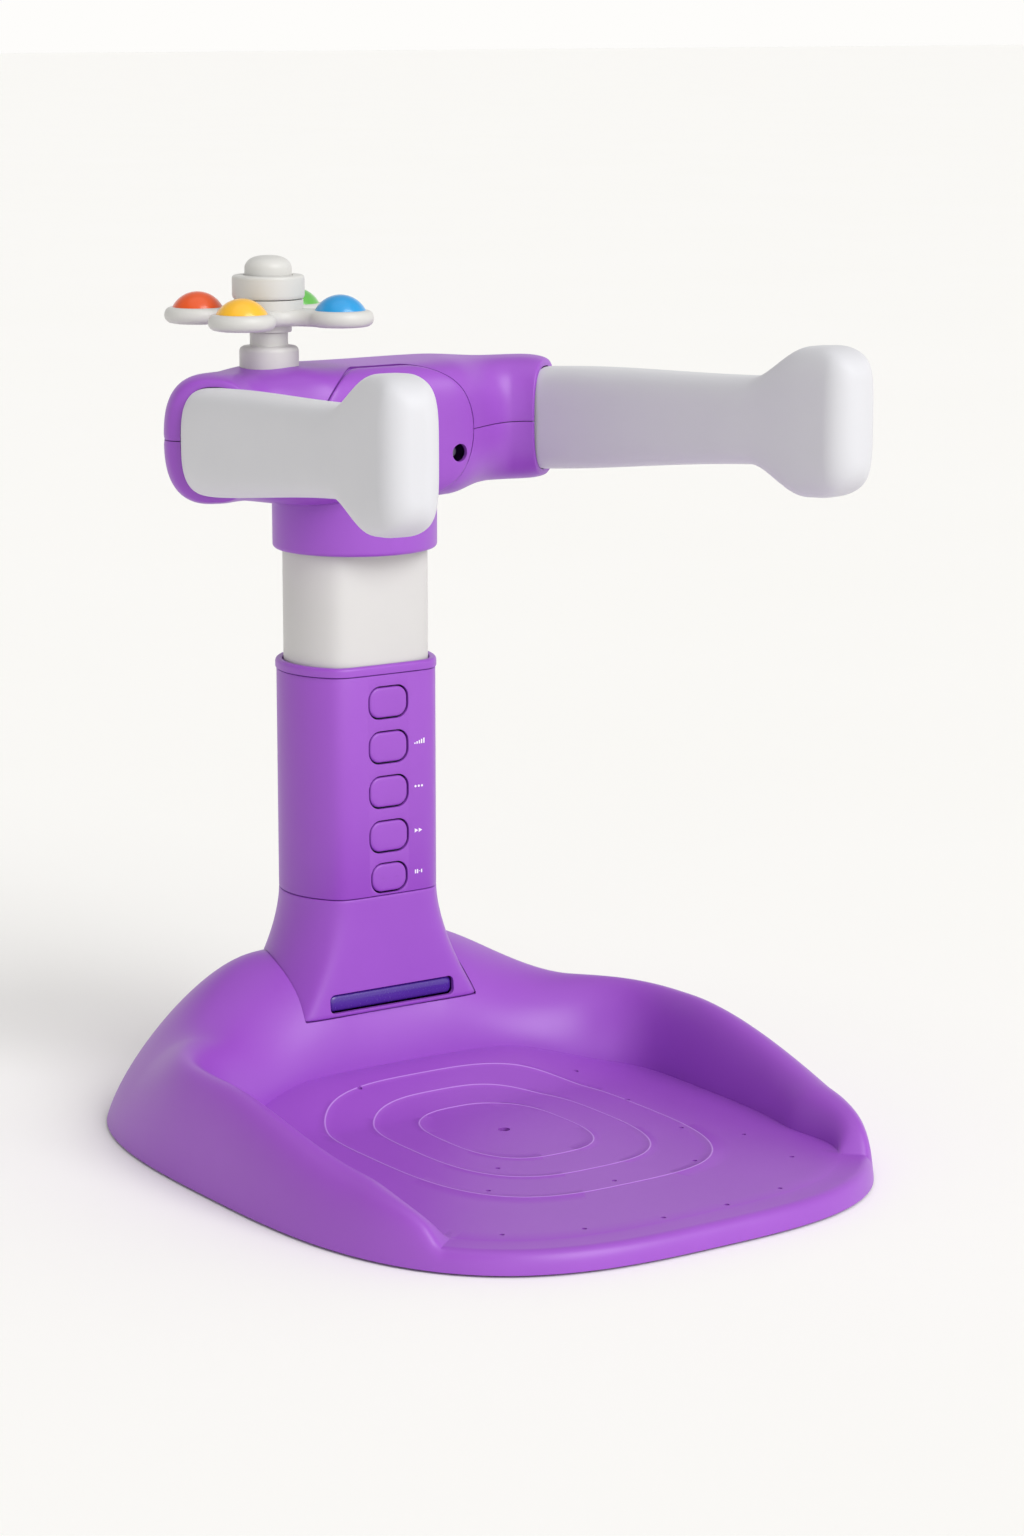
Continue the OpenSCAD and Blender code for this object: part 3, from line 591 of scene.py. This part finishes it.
def make_pedestal():
    """The bell-shaped foot of the column, with the slot for the push bar."""
    n = 320
    heights = np.concatenate([[PEDESTAL_BOTTOM, PEDESTAL_BOTTOM + 0.5, PEDESTAL_BOTTOM + 1.5],
                              np.linspace(PEDESTAL_BOTTOM + 4, SEAM_Z - 1.2, 40),
                              [SEAM_Z - 0.5, SEAM_Z - 0.15]])
    edge = {0: 1.0, 1: 0.4, 2: 0.0, len(heights) - 2: 0.25, len(heights) - 1: 0.8}
    rings = []
    for k, z in enumerate(heights):
        t = edge.get(k, 0.0)
        rings.append(d_section(bell_r(z) - t, bell_flat(z) - t, z, n, soft=3.6))
    for z in np.linspace(SEAM_Z - 0.15, PEDESTAL_BOTTOM, 12):
        rings.append(d_section(bell_r(z) - PEDESTAL_WALL, bell_flat(z) - PEDESTAL_WALL, z, n,
                               soft=3.6))
    pedestal = skin("pedestal_shell", rings, PURPLE, "root", ["pedestal"], wrap=True)
    front = COLUMN_Y - COLUMN_FLAT - 12
    slot = upright(rounded_rect(SLOT_W, SLOT_H, SLOT_CORNER))
    cut(pedestal, [prism(slot, (0, front, SLOT_Z), (0, 20, 0))])
    soften(pedestal, 1.1, segments=4)


def make_push_bar():
    """The bar behind the slot: a crowned front with rounded ends."""
    y0 = COLUMN_Y - bell_flat(SLOT_Z) + 2.0
    rings = []
    for inset, depth in ((6.5, 0.0), (4.0, 0.15), (2.0, 0.9), (0.8, 2.0), (0.3, 3.5), (0.3, 9.0)):
        w, h = SLOT_W - 1.0 - 2 * inset * 0.7, SLOT_H - 1.0 - 2 * inset
        rings.append([(x, y0 + depth, SLOT_Z + z) for x, z in
                      rounded_rect(w, h, min(4.6, h / 2 - 0.1), 12)])
    skin("push_bar", rings, INDIGO, "release_bar", ["release_bar"])


make_pedestal()
make_push_bar()


# --- column, buttons and bezel ---------------------------------------------------------

SHELL_TOP = 368.0
COLUMN_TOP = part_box("bezel_ring")[1].z / MM
BUTTON_CORNER = 9.5
BUTTON_GAP = 1.5
COVER_CUT = 43.3                # the rear cover starts this far behind the column's axis
DOOR_LOW, DOOR_HIGH = (c.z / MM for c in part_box("battery_door"))
DOOR_HALF_ANGLE = radians(30)
DOOR_T = 3.4
SCREW_Z = [DOOR_HIGH + 18, SEAM_Z + 8]


def button_size(i):
    """Width, height and middle height of one button, from its CAD node."""
    low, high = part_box(f"button_{i}")
    return (high.x - low.x) / MM, (high.z - low.z) / MM, (low.z + high.z) / 2 / MM


def column_skin(name, node):
    """The whole D-shaped column as a closed shell, to be cut into its front and its rear cover."""
    top, bottom = SHELL_TOP - 0.2, SEAM_Z + 0.5
    rings = [d_section(COLUMN_R - t, COLUMN_FLAT - t, z, 320) for t, z in
             ((0.9, bottom), (0.25, bottom + 0.3), (0.0, bottom + 1.0), (0.0, top - 1.0),
              (0.25, top - 0.3), (0.9, top), (3.5, top), (3.5, bottom))]
    return skin(name, rings, PURPLE, "root", [node], wrap=True)


def slab(y, depth):
    """A wide block across the whole column, from y behind its axis further back by depth."""
    reach, low, high = 90, SEAM_Z - 10, SHELL_TOP + 10
    outline = upright([(-reach, low), (reach, low), (reach, high), (-reach, high)])
    return prism(outline, (0, COLUMN_Y + y, 0), (0, depth, 0))


def make_column():
    """The front casing, with the five button holes."""
    column = column_skin("column_shell_skin", "column_shell")
    holes = []
    for i in range(1, 6):
        w, h, z0 = button_size(i)
        outline = rounded_rect(w + 2 * BUTTON_GAP, h + 2 * BUTTON_GAP, BUTTON_CORNER + BUTTON_GAP)
        holes.append(prism(upright(outline), (0, COLUMN_Y - COLUMN_FLAT - 6, z0), (0, 14, 0)))
    cut(column, holes + [slab(COVER_CUT, 60)])
    soften(column, 0.7, segments=4)


def door_block(inner, outer, grow=0.0):
    """A curved block around the column's back: the door itself, or grown, the opening for it."""
    steps = 48
    half = DOOR_HALF_ANGLE + grow / COLUMN_R
    low, high = DOOR_LOW - grow, DOOR_HIGH + grow
    points = [(r * cos(a), COLUMN_Y + r * sin(a), z)
              for a in np.linspace(pi / 2 - half, pi / 2 + half, steps)
              for r, z in ((inner, low), (outer, low), (outer, high), (inner, high))]
    faces = ring_faces(steps, 4) + [(0, 1, 2, 3), tuple(range(4 * steps - 4, 4 * steps))]
    return points, faces


def make_battery_door():
    """The door in the rear cover, with four finger grooves that shorten downwards."""
    points, faces = door_block(COLUMN_R - DOOR_T, COLUMN_R)
    door = make_piece("battery_door_skin", points, faces, PURPLE, "root", ["battery_door"])
    cut(door, [prism(upright(rounded_rect(26 - 4 * k, 1.6, 0.75, 6)),
                     (0, COLUMN_Y + COLUMN_R - 1.6, DOOR_HIGH - 9 - 4 * k), (0, 8, 0))
               for k in range(4)])
    soften(door, 0.5)


def make_rear_screw(name, z0, stands_for):
    """A pan-head screw with a cross recess, down in its well."""
    n = 48
    head_y = COLUMN_Y + COLUMN_R - 5.4
    profile = [(0.02, 0.0), (3.2, 0.0), (3.6, 0.5), (3.6, 1.2), (3.0, 2.0), (1.6, 2.5), (0.02, 2.6)]
    rings = [[(r * cos(tau * i / n), head_y + y, z0 + r * sin(tau * i / n)) for i in range(n)]
             for r, y in profile]
    screw = skin(name, rings, STEEL, "root", stands_for)
    cut(screw, [prism(upright(rounded_rect(w, h, 0.3, 3)), (0, head_y + 1.2, z0), (0, 6, 0))
                for w, h in ((4.4, 1.0), (1.0, 4.4))])
    soften(screw, 0.12, segments=2)


def make_rear_cover():
    """The cover at the column's back, open for the battery door and the two screws."""
    cover = column_skin("rear_cover_skin", "column_rear_cover")
    wells = [prism(circle_points(4.4, 40, "y"), (0, COLUMN_Y + COLUMN_R - 12, z), (0, 30, 0))
             for z in SCREW_Z]
    opening = door_block(COLUMN_R - 9, COLUMN_R + 9, SEAM_GAP)
    cut(cover, [slab(-100, 100 + COVER_CUT + SEAM_GAP), opening] + wells)
    soften(cover, 0.6)
    make_battery_door()
    make_rear_screw("rear_screw_1", SCREW_Z[0], ["rear_cover_screws"])
    make_rear_screw("rear_screw_2", SCREW_Z[1], [])


def make_button(i):
    """A push button: a softly crowned cap with a rounded edge."""
    width, height, z0 = button_size(i)
    y0 = COLUMN_Y - COLUMN_FLAT
    rings = []
    for inset, depth in ((11.5, -0.35), (8.0, -0.32), (5.0, -0.24), (2.6, -0.1), (1.4, 0.05),
                         (0.7, 0.35), (0.25, 0.8), (0.0, 1.5), (0.0, 5.0)):
        w, h = width - 2 * inset, height - 2 * inset
        rings.append([(x, y0 + depth, z0 + z) for x, z in
                      rounded_rect(w, h, max(0.6, min(BUTTON_CORNER - 0.6 * inset, h / 2 - 0.05)))])
    skin(f"push_button_{i}", rings, PURPLE, f"button_{i}", [f"button_{i}"])


def make_bezel():
    """The rolled ring on top of the column."""
    n = 320
    low, high = SHELL_TOP + 0.4, COLUMN_TOP
    profile = rounded_profile([(-5.2, low, 0), (0.9, low, 0.8), (0.9, high, 3.4), (-5.2, high, 1.6),
                               (-5.2, low + 1, 0)], 10)
    rings = [d_section(COLUMN_R + t, max(COLUMN_FLAT + t, 46.6), z, n) for t, z in profile]
    skin("bezel", rings, PURPLE, "root", ["bezel_ring"], wrap=True)


def make_signs():
    """A small printed sign beside each of the lower four buttons: bars, dots, arrows, a wave."""
    y = COLUMN_Y - COLUMN_FLAT - 0.06
    depth = 0.25

    def plate(name, shapes, z0):
        points, faces = [], []
        for outline in shapes:
            p, f = prism(upright(outline), (0, y, z0), (0, depth, 0))
            start = len(points)
            points += p
            faces += [tuple(i + start for i in face) for face in f]
        make_piece(name, points, faces, INK, "root")

    def box_outline(x, z, w, h):
        return [(x, z), (x + w, z), (x + w, z + h), (x, z + h)]

    def disc(x, z, r):
        return [(x + r * cos(tau * k / 20), z + r * sin(tau * k / 20)) for k in range(20)]

    x0 = 25.0
    bars = [box_outline(x0 + 2.2 * k, -1.8, 1.3, 1.2 + 0.8 * k) for k in range(5)]
    dots = [disc(x0 + 1 + 3.2 * k, 0, 1.0) for k in range(3)]
    arrow = [[(x, -1.8), (x + 3.4, 0), (x, 1.8)] for x in (x0, x0 + 4)]
    wave = [box_outline(x0 + 2.0 * k, -1.9 * abs(sin(1 + k)), 1.2, 3.8 * abs(sin(1 + k)))
            for k in range(4)]
    for i, (name, shapes) in enumerate((("bars", bars), ("dots", dots), ("arrow", arrow),
                                        ("wave", wave))):
        plate(f"sign_{name}", shapes, button_size(i + 2)[2] + 1.5)


make_column()
make_rear_cover()
for index in range(1, 6):
    make_button(index)
make_bezel()
make_signs()


# --- mast and collar ------------------------------------------------------------------

SLEEVE_R, SLEEVE_FLAT = 60.0, 46.0      # the white mast, which slides in the column
COLLAR_R = 68.0


def make_mast():
    """The white mast: a D-shaped tube with an eased top edge."""
    n = 320
    low, high = (c.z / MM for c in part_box("mast_sleeve"))
    rings = [d_section(SLEEVE_R - t, SLEEVE_FLAT - t, z, n, soft=4.5) for t, z in
             ((0, low), (0, high - 1), (0.3, high - 0.3), (1, high), (3, high), (3, low))]
    skin("mast", rings, WHITE, "root", ["mast_sleeve"], wrap=True)


def make_collar():
    """The collar that slides round the mast, with its screw well."""
    low, high = (c.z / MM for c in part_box("collar"))
    profile = rounded_profile([(COLLAR_R - 3.5, high, 0), (COLLAR_R, high, 0.5),
                               (COLLAR_R, low, 4.0), (COLLAR_R - 6.6, low, 1.2),
                               (COLLAR_R - 6.6, low + 8, 0), (COLLAR_R - 3.5, low + 9, 0)], 8)
    collar = turned("collar_shell", profile, (0, COLUMN_Y, 0), PURPLE, "head", ["collar"],
                    n=256, wrap=True)
    well = prism(circle_points(6.5, 48, "y"), (0, COLUMN_Y - COLLAR_R - 8, 494), (0, 18, 0))
    cut(collar, [well])
    soften(collar, 0.6)


make_mast()
make_collar()


# --- head -----------------------------------------------------------------------------

HEAD_Z = 566.0
HEAD_HALF_D, HEAD_HALF_H = 65.0, 56.0
SHOULDER_HALF_D = 47.0
# From the column's axis round to the right arm's mouth, with Y from the axis
YOKE_PATH = [np.array(p, float) for p in ((0, 0, HEAD_Z - 2), (72, 0, HEAD_Z - 2),
                                          (131, -12, HEAD_Z + 3), (158.5, -47, HEAD_Z + 3))]
MOUTH = YOKE_PATH[3]
MOUTH_HALF_D, MOUTH_HALF_H = 31.0, 46.5
SHELL_T = 3.5
COVER_HALF_X = 74.5
COVER_PROUD = 1.3               # the front cover stands this far out of the yoke
WELL_X, WELL_Z = 58.7, 548.0    # middles of the front cover's screw wells


def yoke_squareness(u):
    return mix(4.5, 2.6, smooth((u - 0.15) / 0.55))


def yoke_point(u, angle, inward=0.0):
    """Point of the yoke's skin: u from -1 at the left mouth to 1 at the right one,
    and the angle runs from the back over the top to the front.
    The section is taller and fuller at its outer side, which ends in a round shoulder."""
    a = abs(u)
    p, v = bezier(YOKE_PATH, a), bezier_slope(YOKE_PATH, a)
    side = np.array([-v[1], v[0]]) / np.hypot(v[0], v[1])
    outer = smooth(0.5 + 0.5 * cos(angle))
    shoulder = sqrt(max(0.0, 1 - max(0.0, (a - 0.80) / 0.2) ** 2.4))
    end = smooth((a - 0.3) / 0.5)
    outer_d = mix(MOUTH_HALF_D, SHOULDER_HALF_D, shoulder)
    half_d = mix(HEAD_HALF_D, mix(MOUTH_HALF_D + 2.5, outer_d, outer), end) - inward
    low_h = mix(HEAD_HALF_H, MOUTH_HALF_H, smooth((a - 0.36) / 0.3))
    high_h = mix(MOUTH_HALF_H, HEAD_HALF_H, shoulder)
    half_h = mix(low_h, high_h, outer) - inward
    q = superellipse(half_d, half_h, yoke_squareness(a), angle)
    return np.array([(-1 if u < 0 else 1) * (p[0] + q[0] * side[0]),
                     COLUMN_Y + p[1] + q[0] * side[1], p[2] + q[1]])


def yoke_shell(name, start, node):
    """Half of the yoke's skin as a thin shell with a rounded edge along its seam."""
    steps, stations = 96, 120
    edge = 0.9

    def section(u, inward_end):
        ring = []
        for i in range(steps + 1):
            angle = start + pi * i / steps
            near = min(i, steps - i)
            ring.append(yoke_point(u, angle, inward_end + (0.5 if near == 0 else 0.0)))
        for i in range(steps, -1, -1):
            ring.append(yoke_point(u, start + pi * i / steps, SHELL_T))
        shift = SEAM_GAP if start == 0 else -SEAM_GAP
        for p in ring:
            p[2] += shift if abs(p[2] - bezier(YOKE_PATH, abs(u))[2]) < 0.01 else 0.0
        return ring

    rings = [section(-1, edge), section(-0.996, 0.25)]
    rings += [section(sin(a), 0.0) for a in np.linspace(-1.43, 1.43, stations)]
    rings += [section(0.996, 0.25), section(1, edge)]
    return skin(name, rings, PURPLE, "head", [node])


def cover_rings(grow, layers, n=192):
    """Rings of the round-ended cover's form, laid over the yoke's front."""
    table_u = np.linspace(0, 0.75, 90)
    table_x = np.array([yoke_point(u, pi)[0] for u in table_u])
    round_r = 0.975 * HEAD_HALF_H
    rings = []
    for r, inward in layers:
        ring = []
        for i in range(n):
            a = tau * i / n
            reach = COVER_HALF_X - round_r
            x = r * ((reach if cos(a) >= 0 else -reach) + (round_r + grow) * cos(a))
            z = min(1.0, abs(r * (round_r + grow) * sin(a)) / HEAD_HALF_H)
            u = float(np.interp(abs(x), table_x, table_u))
            lean = np.arcsin(z ** (yoke_squareness(u) / 2))
            angle = pi - (lean if sin(a) >= 0 else -lean)
            ring.append(yoke_point(u if x >= 0 else -u, angle, inward))
        rings.append(ring)
    return rings


def collar_room():
    """The cutter for the collar's place under the head."""
    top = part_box("collar")[1].z / MM + SEAM_GAP
    return prism(circle_points(COLLAR_R + SEAM_GAP, 96), (0, COLUMN_Y, 490), (0, 0, top - 490))


def mast_room():
    """The cutter that clears the mast, which comes 75 mm up into the head as the head goes down."""
    return prism(circle_points(SLEEVE_R + 0.6, 96), (0, COLUMN_Y, 490), (0, 0, 90))


def screw_wells(radius):
    """The cutters for the two screw wells, through the cover and the casing behind it."""
    return [prism(circle_points(radius, 48, "y"), (s * WELL_X, COLUMN_Y - 80, WELL_Z), (0, 40, 0))
            for s in (-1, 1)]


def make_front_cover():
    """The round-ended cover on the head's front, standing just proud of the yoke."""
    layers = [(r, -COVER_PROUD) for r in (0.02, 0.2, 0.4, 0.6, 0.75, 0.87, 0.94, 0.97)]
    layers += [(0.984, -1.2), (0.994, -0.9), (0.999, -0.4), (1.0, 0.2), (1.0, 1.6), (0.5, 1.6),
               (0.02, 1.6)]
    cover = skin("front_cover", cover_rings(0, layers), PURPLE, "head", ["head_front_cover"])
    cut(cover, screw_wells(7.4) + [collar_room()])
    cut(cover, [mast_room()])
    soften(cover, 0.8)


def cover_recess():
    """The cutter for the recess that the cover sits in, a little wider than the cover."""
    rings = cover_rings(0.9, [(0.02, -6.0), (1.0, -6.0), (1.0, 2.0), (0.02, 2.0)])
    n = len(rings[0])
    return ([p for ring in rings for p in ring],
            ring_faces(4, n) + [tuple(range(n)), tuple(range(3 * n, 4 * n))])


def make_head():
    """The head's two casings and its front cover."""
    upper = yoke_shell("upper_yoke_shell", 0.0, "yoke_upper_shell")
    lower = yoke_shell("lower_yoke_shell", pi, "yoke_lower_shell")
    cut(lower, [cover_recess()])
    cut(lower, [collar_room()] + screw_wells(7.0))
    cut(lower, [mast_room()])
    cut(upper, [cover_recess()])
    for shell in (lower, upper):
        shade(shell.data)
    make_front_cover()


make_head()


# --- arms -----------------------------------------------------------------------------

ARM_TIP = np.array([199.0, -370.0, 592.0])
ARM_PATH = [MOUTH, MOUTH + (14, -20, 1), ARM_TIP + (-19, 150, -9), ARM_TIP + (3, -36, 2)]
ARM_ROOT_HALF = (27.0, 42.5)        # half thickness and half height in the yoke's mouth
ARM_WAIST_HALF = (23.0, 34.5)       # and where the bar is thinnest
ARM_END_HALF = (24.0, 58.5)         # and at the T-shaped end
ARM_ROUNDING, CORNER_ROUNDING = 19.0, 34.0


def make_arm(name, sign, node):
    """A soft-touch arm: a tapering flat-sided bar that flares into a T-shaped end."""
    n = 112
    lengths = np.linspace(0, 1, 400)
    path = np.array([bezier(ARM_PATH, t) for t in lengths])
    run = np.concatenate([[0], np.cumsum(np.linalg.norm(np.diff(path, axis=0), axis=1))])
    total = run[-1]
    stations = list(np.linspace(0, total - ARM_ROUNDING, 110))
    stations += [total - ARM_ROUNDING * (1 - sin(pi / 2 * k / 14)) for k in range(1, 15)]
    rings = []
    for s in stations:
        t = float(np.interp(s, run, lengths))
        share = s / total
        p, v = bezier(ARM_PATH, t), bezier_slope(ARM_PATH, t)
        side = np.array([-v[1], v[0]]) / np.hypot(v[0], v[1])
        flare = smooth((share - 0.70) / 0.17)
        half_h = mix(mix(ARM_ROOT_HALF[1], ARM_WAIST_HALF[1], smooth(share / 0.72)),
                     ARM_END_HALF[1], flare)
        half_w = mix(mix(ARM_ROOT_HALF[0], ARM_WAIST_HALF[0], smooth(share / 0.6)),
                     ARM_END_HALF[0], flare)
        into = max(0.0, s - (total - ARM_ROUNDING)) / ARM_ROUNDING
        inset = ARM_ROUNDING * (1 - sqrt(max(0.0, 1 - into * into)))
        late = max(0.0, s - (total - CORNER_ROUNDING)) / CORNER_ROUNDING
        drop = max(inset, CORNER_ROUNDING * (1 - sqrt(max(0.0, 1 - late * late))) * 0.8)
        root = 0.8 * max(0.0, 1 - s / 2.0)
        rings.append([
            (sign * (p[0] + q[0] * side[0]), COLUMN_Y + p[1] + q[0] * side[1], p[2] + q[1])
            for q in (superellipse(half_w - inset - root, half_h - drop - root,
                                   mix(3.0, 4.0, smooth(share / 0.2)), tau * i / n)
                      for i in range(n))
        ])
    skin(name, rings, ARM_WHITE, "head", [node])


make_arm("left_arm", -1, "left_arm_grip")
make_arm("right_arm", 1, "right_arm_grip")


# --- spinner toy -----------------------------------------------------------------------

SPINNER = (-80.0, COLUMN_Y, 0.0)
PETAL_Z, PETAL_T = 654.0, 13.0
PETAL_REACH, PETAL_R, DOME_R = 61.0, 27.0, 20.5
PETAL_TURN = radians(-51)


def petal_outline(inset):
    """The four-petal outline: pad arcs joined by hollow fillets, moved inwards."""
    fillet_r = 17.34
    fillet_centre = 30 + fillet_r
    pad_r, hollow_r = PETAL_R - inset, fillet_r + inset
    pad = np.array([PETAL_REACH, 0.0])
    hollow = fillet_centre * np.array([cos(pi / 4), sin(pi / 4)])
    meet = hollow - pad
    pad_end = atan2(meet[1], meet[0])
    points = []
    for k in range(4):
        turn = PETAL_TURN + k * pi / 2
        rotate = np.array([[cos(turn), -sin(turn)], [sin(turn), cos(turn)]])
        for i in range(33):
            a = mix(-pad_end, pad_end, i / 32)
            points.append(rotate @ (pad + pad_r * np.array([cos(a), sin(a)])))
        start = atan2(-meet[1], -meet[0])
        end = pi / 2 - start
        for i in range(1, 16):
            a = mix(start, end - tau if end > start else end, i / 16)
            points.append(rotate @ (hollow + hollow_r * np.array([cos(a), sin(a)])))
    return points


def make_petals():
    """The four-petal plate with the hubs under and over it."""
    z0, z1 = PETAL_Z, PETAL_Z + PETAL_T
    rings = []
    profile = [(6.5, z0), (4.0, z0 + 0.5), (2.0, z0 + 1.7), (0.7, z0 + 3.5), (0.1, z0 + 5.5),
               (0.0, z0 + 7), (0.4, z0 + 9), (1.3, z0 + 10.8), (2.7, z0 + 12.2), (4.4, z0 + 12.9),
               (6.3, z1)]
    for inset, z in profile:
        rings.append([(SPINNER[0] + p[0], SPINNER[1] + p[1], z) for p in petal_outline(inset)])
    skin("spinner_petals_plate", rings, WHITE, "spinner", ["spinner_petals"])
    turned("spinner_underhub",
           rounded_profile([(4.9, 648.5, 0), (18.5, 648.5, 1.0), (18.5, 656, 0), (4.9, 656, 0)]),
           SPINNER, WHITE, "spinner")
    turned("spinner_hub",
           rounded_profile([(5.3, 660, 0), (28.0, 660, 0), (28.0, 674.6, 0.8), (5.3, 674.6, 0)]),
           SPINNER, WHITE, "spinner")


def make_domes():
    """The four domes: caps of a ball, set in the petals."""
    height = 12.5
    ball = (DOME_R ** 2 + height ** 2) / (2 * height)
    for k, (colour, material) in enumerate((("blue", BLUE), ("green", GREEN), ("orange", ORANGE),
                                            ("yellow", YELLOW))):
        turn = PETAL_TURN + k * pi / 2
        centre = (SPINNER[0] + PETAL_REACH * cos(turn), SPINNER[1] + PETAL_REACH * sin(turn),
                  PETAL_Z + PETAL_T - 0.1)
        reach = np.arcsin(DOME_R / ball)
        profile = [(DOME_R, -2.0)]
        profile += [(ball * sin(a), ball * cos(a) - ball + height)
                    for a in np.linspace(reach, 0.01, 24)]
        turned(f"{colour}_dome", profile, centre, material, "spinner", [f"dome_{colour}"], n=96)


def make_spinner():
    """The toy on its post, with the push knob in the cup."""
    make_petals()
    make_domes()
    turned("spinner_hub_cup",
           rounded_profile([(5.3, 675.2, 0), (28.4, 675.2, 1.4), (29.2, 678, 1.0), (29.2, 694, 3.0),
                            (19.8, 694, 0.8), (19.8, 684, 0), (5.3, 684, 0)]),
           SPINNER, WHITE, "spinner", ["spinner_hub_ring"])
    knob = [(0.02, 692.5), (5.4, 692.5), (5.4, 687.0), (19.0, 687.0), (19.0, 699)]
    knob += [(19.0 * cos(a) ** 0.72, 699 + 10.5 * sin(a))
             for a in np.linspace(0.08, pi / 2 - 0.02, 24)]
    turned("spinner_knob_cap", knob, SPINNER, WHITE, "spinner_knob", ["spinner_knob"])
    turned("spinner_post",
           rounded_profile([(5.2, 612, 0), (24.0, 612, 0), (24.0, 637, 4.5), (15.4, 637.5, 1.0),
                            (15.4, 648.2, 0.5), (5.2, 648.2, 0)]),
           SPINNER, WHITE, "head", ["spinner_base"])


make_spinner()


# --- stage --------------------------------------------------------------------------------

def make_stage():
    """A pale floor, a white surround, and soft studio lights."""
    mesh = bpy.data.meshes.new("floor")
    reach = 60.0
    mesh.from_pydata([(-reach, -reach, 0), (reach, -reach, 0), (reach, reach, 0),
                      (-reach, reach, 0)], [], [(0, 1, 2, 3)])
    floor = bpy.data.objects.new("floor", mesh)
    bpy.context.scene.collection.objects.link(floor)
    mesh.materials.append(moulded("pale_studio_floor", "#fdfcfa", "#fbfaf7", grain_mm=3.0,
                                  grain_depth_mm=0.002, roughness=0.9, flow_mm=900))

    world = bpy.data.worlds.new("studio")
    bpy.context.scene.world = world
    world.use_nodes = True
    tree = world.node_tree
    tree.nodes.clear()
    up = add_node(tree, "ShaderNodeSeparateXYZ",
                  {0: add_node(tree, "ShaderNodeTexCoord").outputs["Generated"]})
    overhead = add_node(tree, "ShaderNodeMapRange",
                        {"Value": up.outputs["Z"], "From Min": 0.22, "From Max": 0.6,
                         "To Min": 1.0, "To Max": 0.45})
    sideways = add_node(tree, "ShaderNodeMapRange",
                        {"Value": up.outputs["X"], "From Min": -0.6, "From Max": 0.35,
                         "To Min": 0.7, "To Max": 1.0})
    strength = add_node(tree, "ShaderNodeMath", {0: overhead.outputs["Result"],
                                                 1: sideways.outputs["Result"]},
                        operation="MULTIPLY")
    background = add_node(tree, "ShaderNodeBackground",
                          {"Color": linear("#fefdfb"), "Strength": strength.outputs["Value"]})
    add_node(tree, "ShaderNodeOutputWorld", {"Surface": background.outputs["Background"]})

    def sun(name, azimuth, elevation, strength, softness):
        data = bpy.data.lights.new(name, "SUN")
        data.energy = strength
        data.angle = radians(softness)
        light = bpy.data.objects.new(name, data)
        bpy.context.scene.collection.objects.link(light)
        out = Vector((sin(radians(azimuth)) * cos(radians(elevation)),
                      -cos(radians(azimuth)) * cos(radians(elevation)), sin(radians(elevation))))
        light.rotation_euler = (-out).to_track_quat("-Z", "Y").to_euler()

    sun("key", 10, 38, 1.9, 40)
    sun("fill", -30, 14, 0.3, 50)
    sun("top", -20, 80, 0.4, 60)


make_stage()
bpy.context.scene.view_settings.view_transform = "Standard"
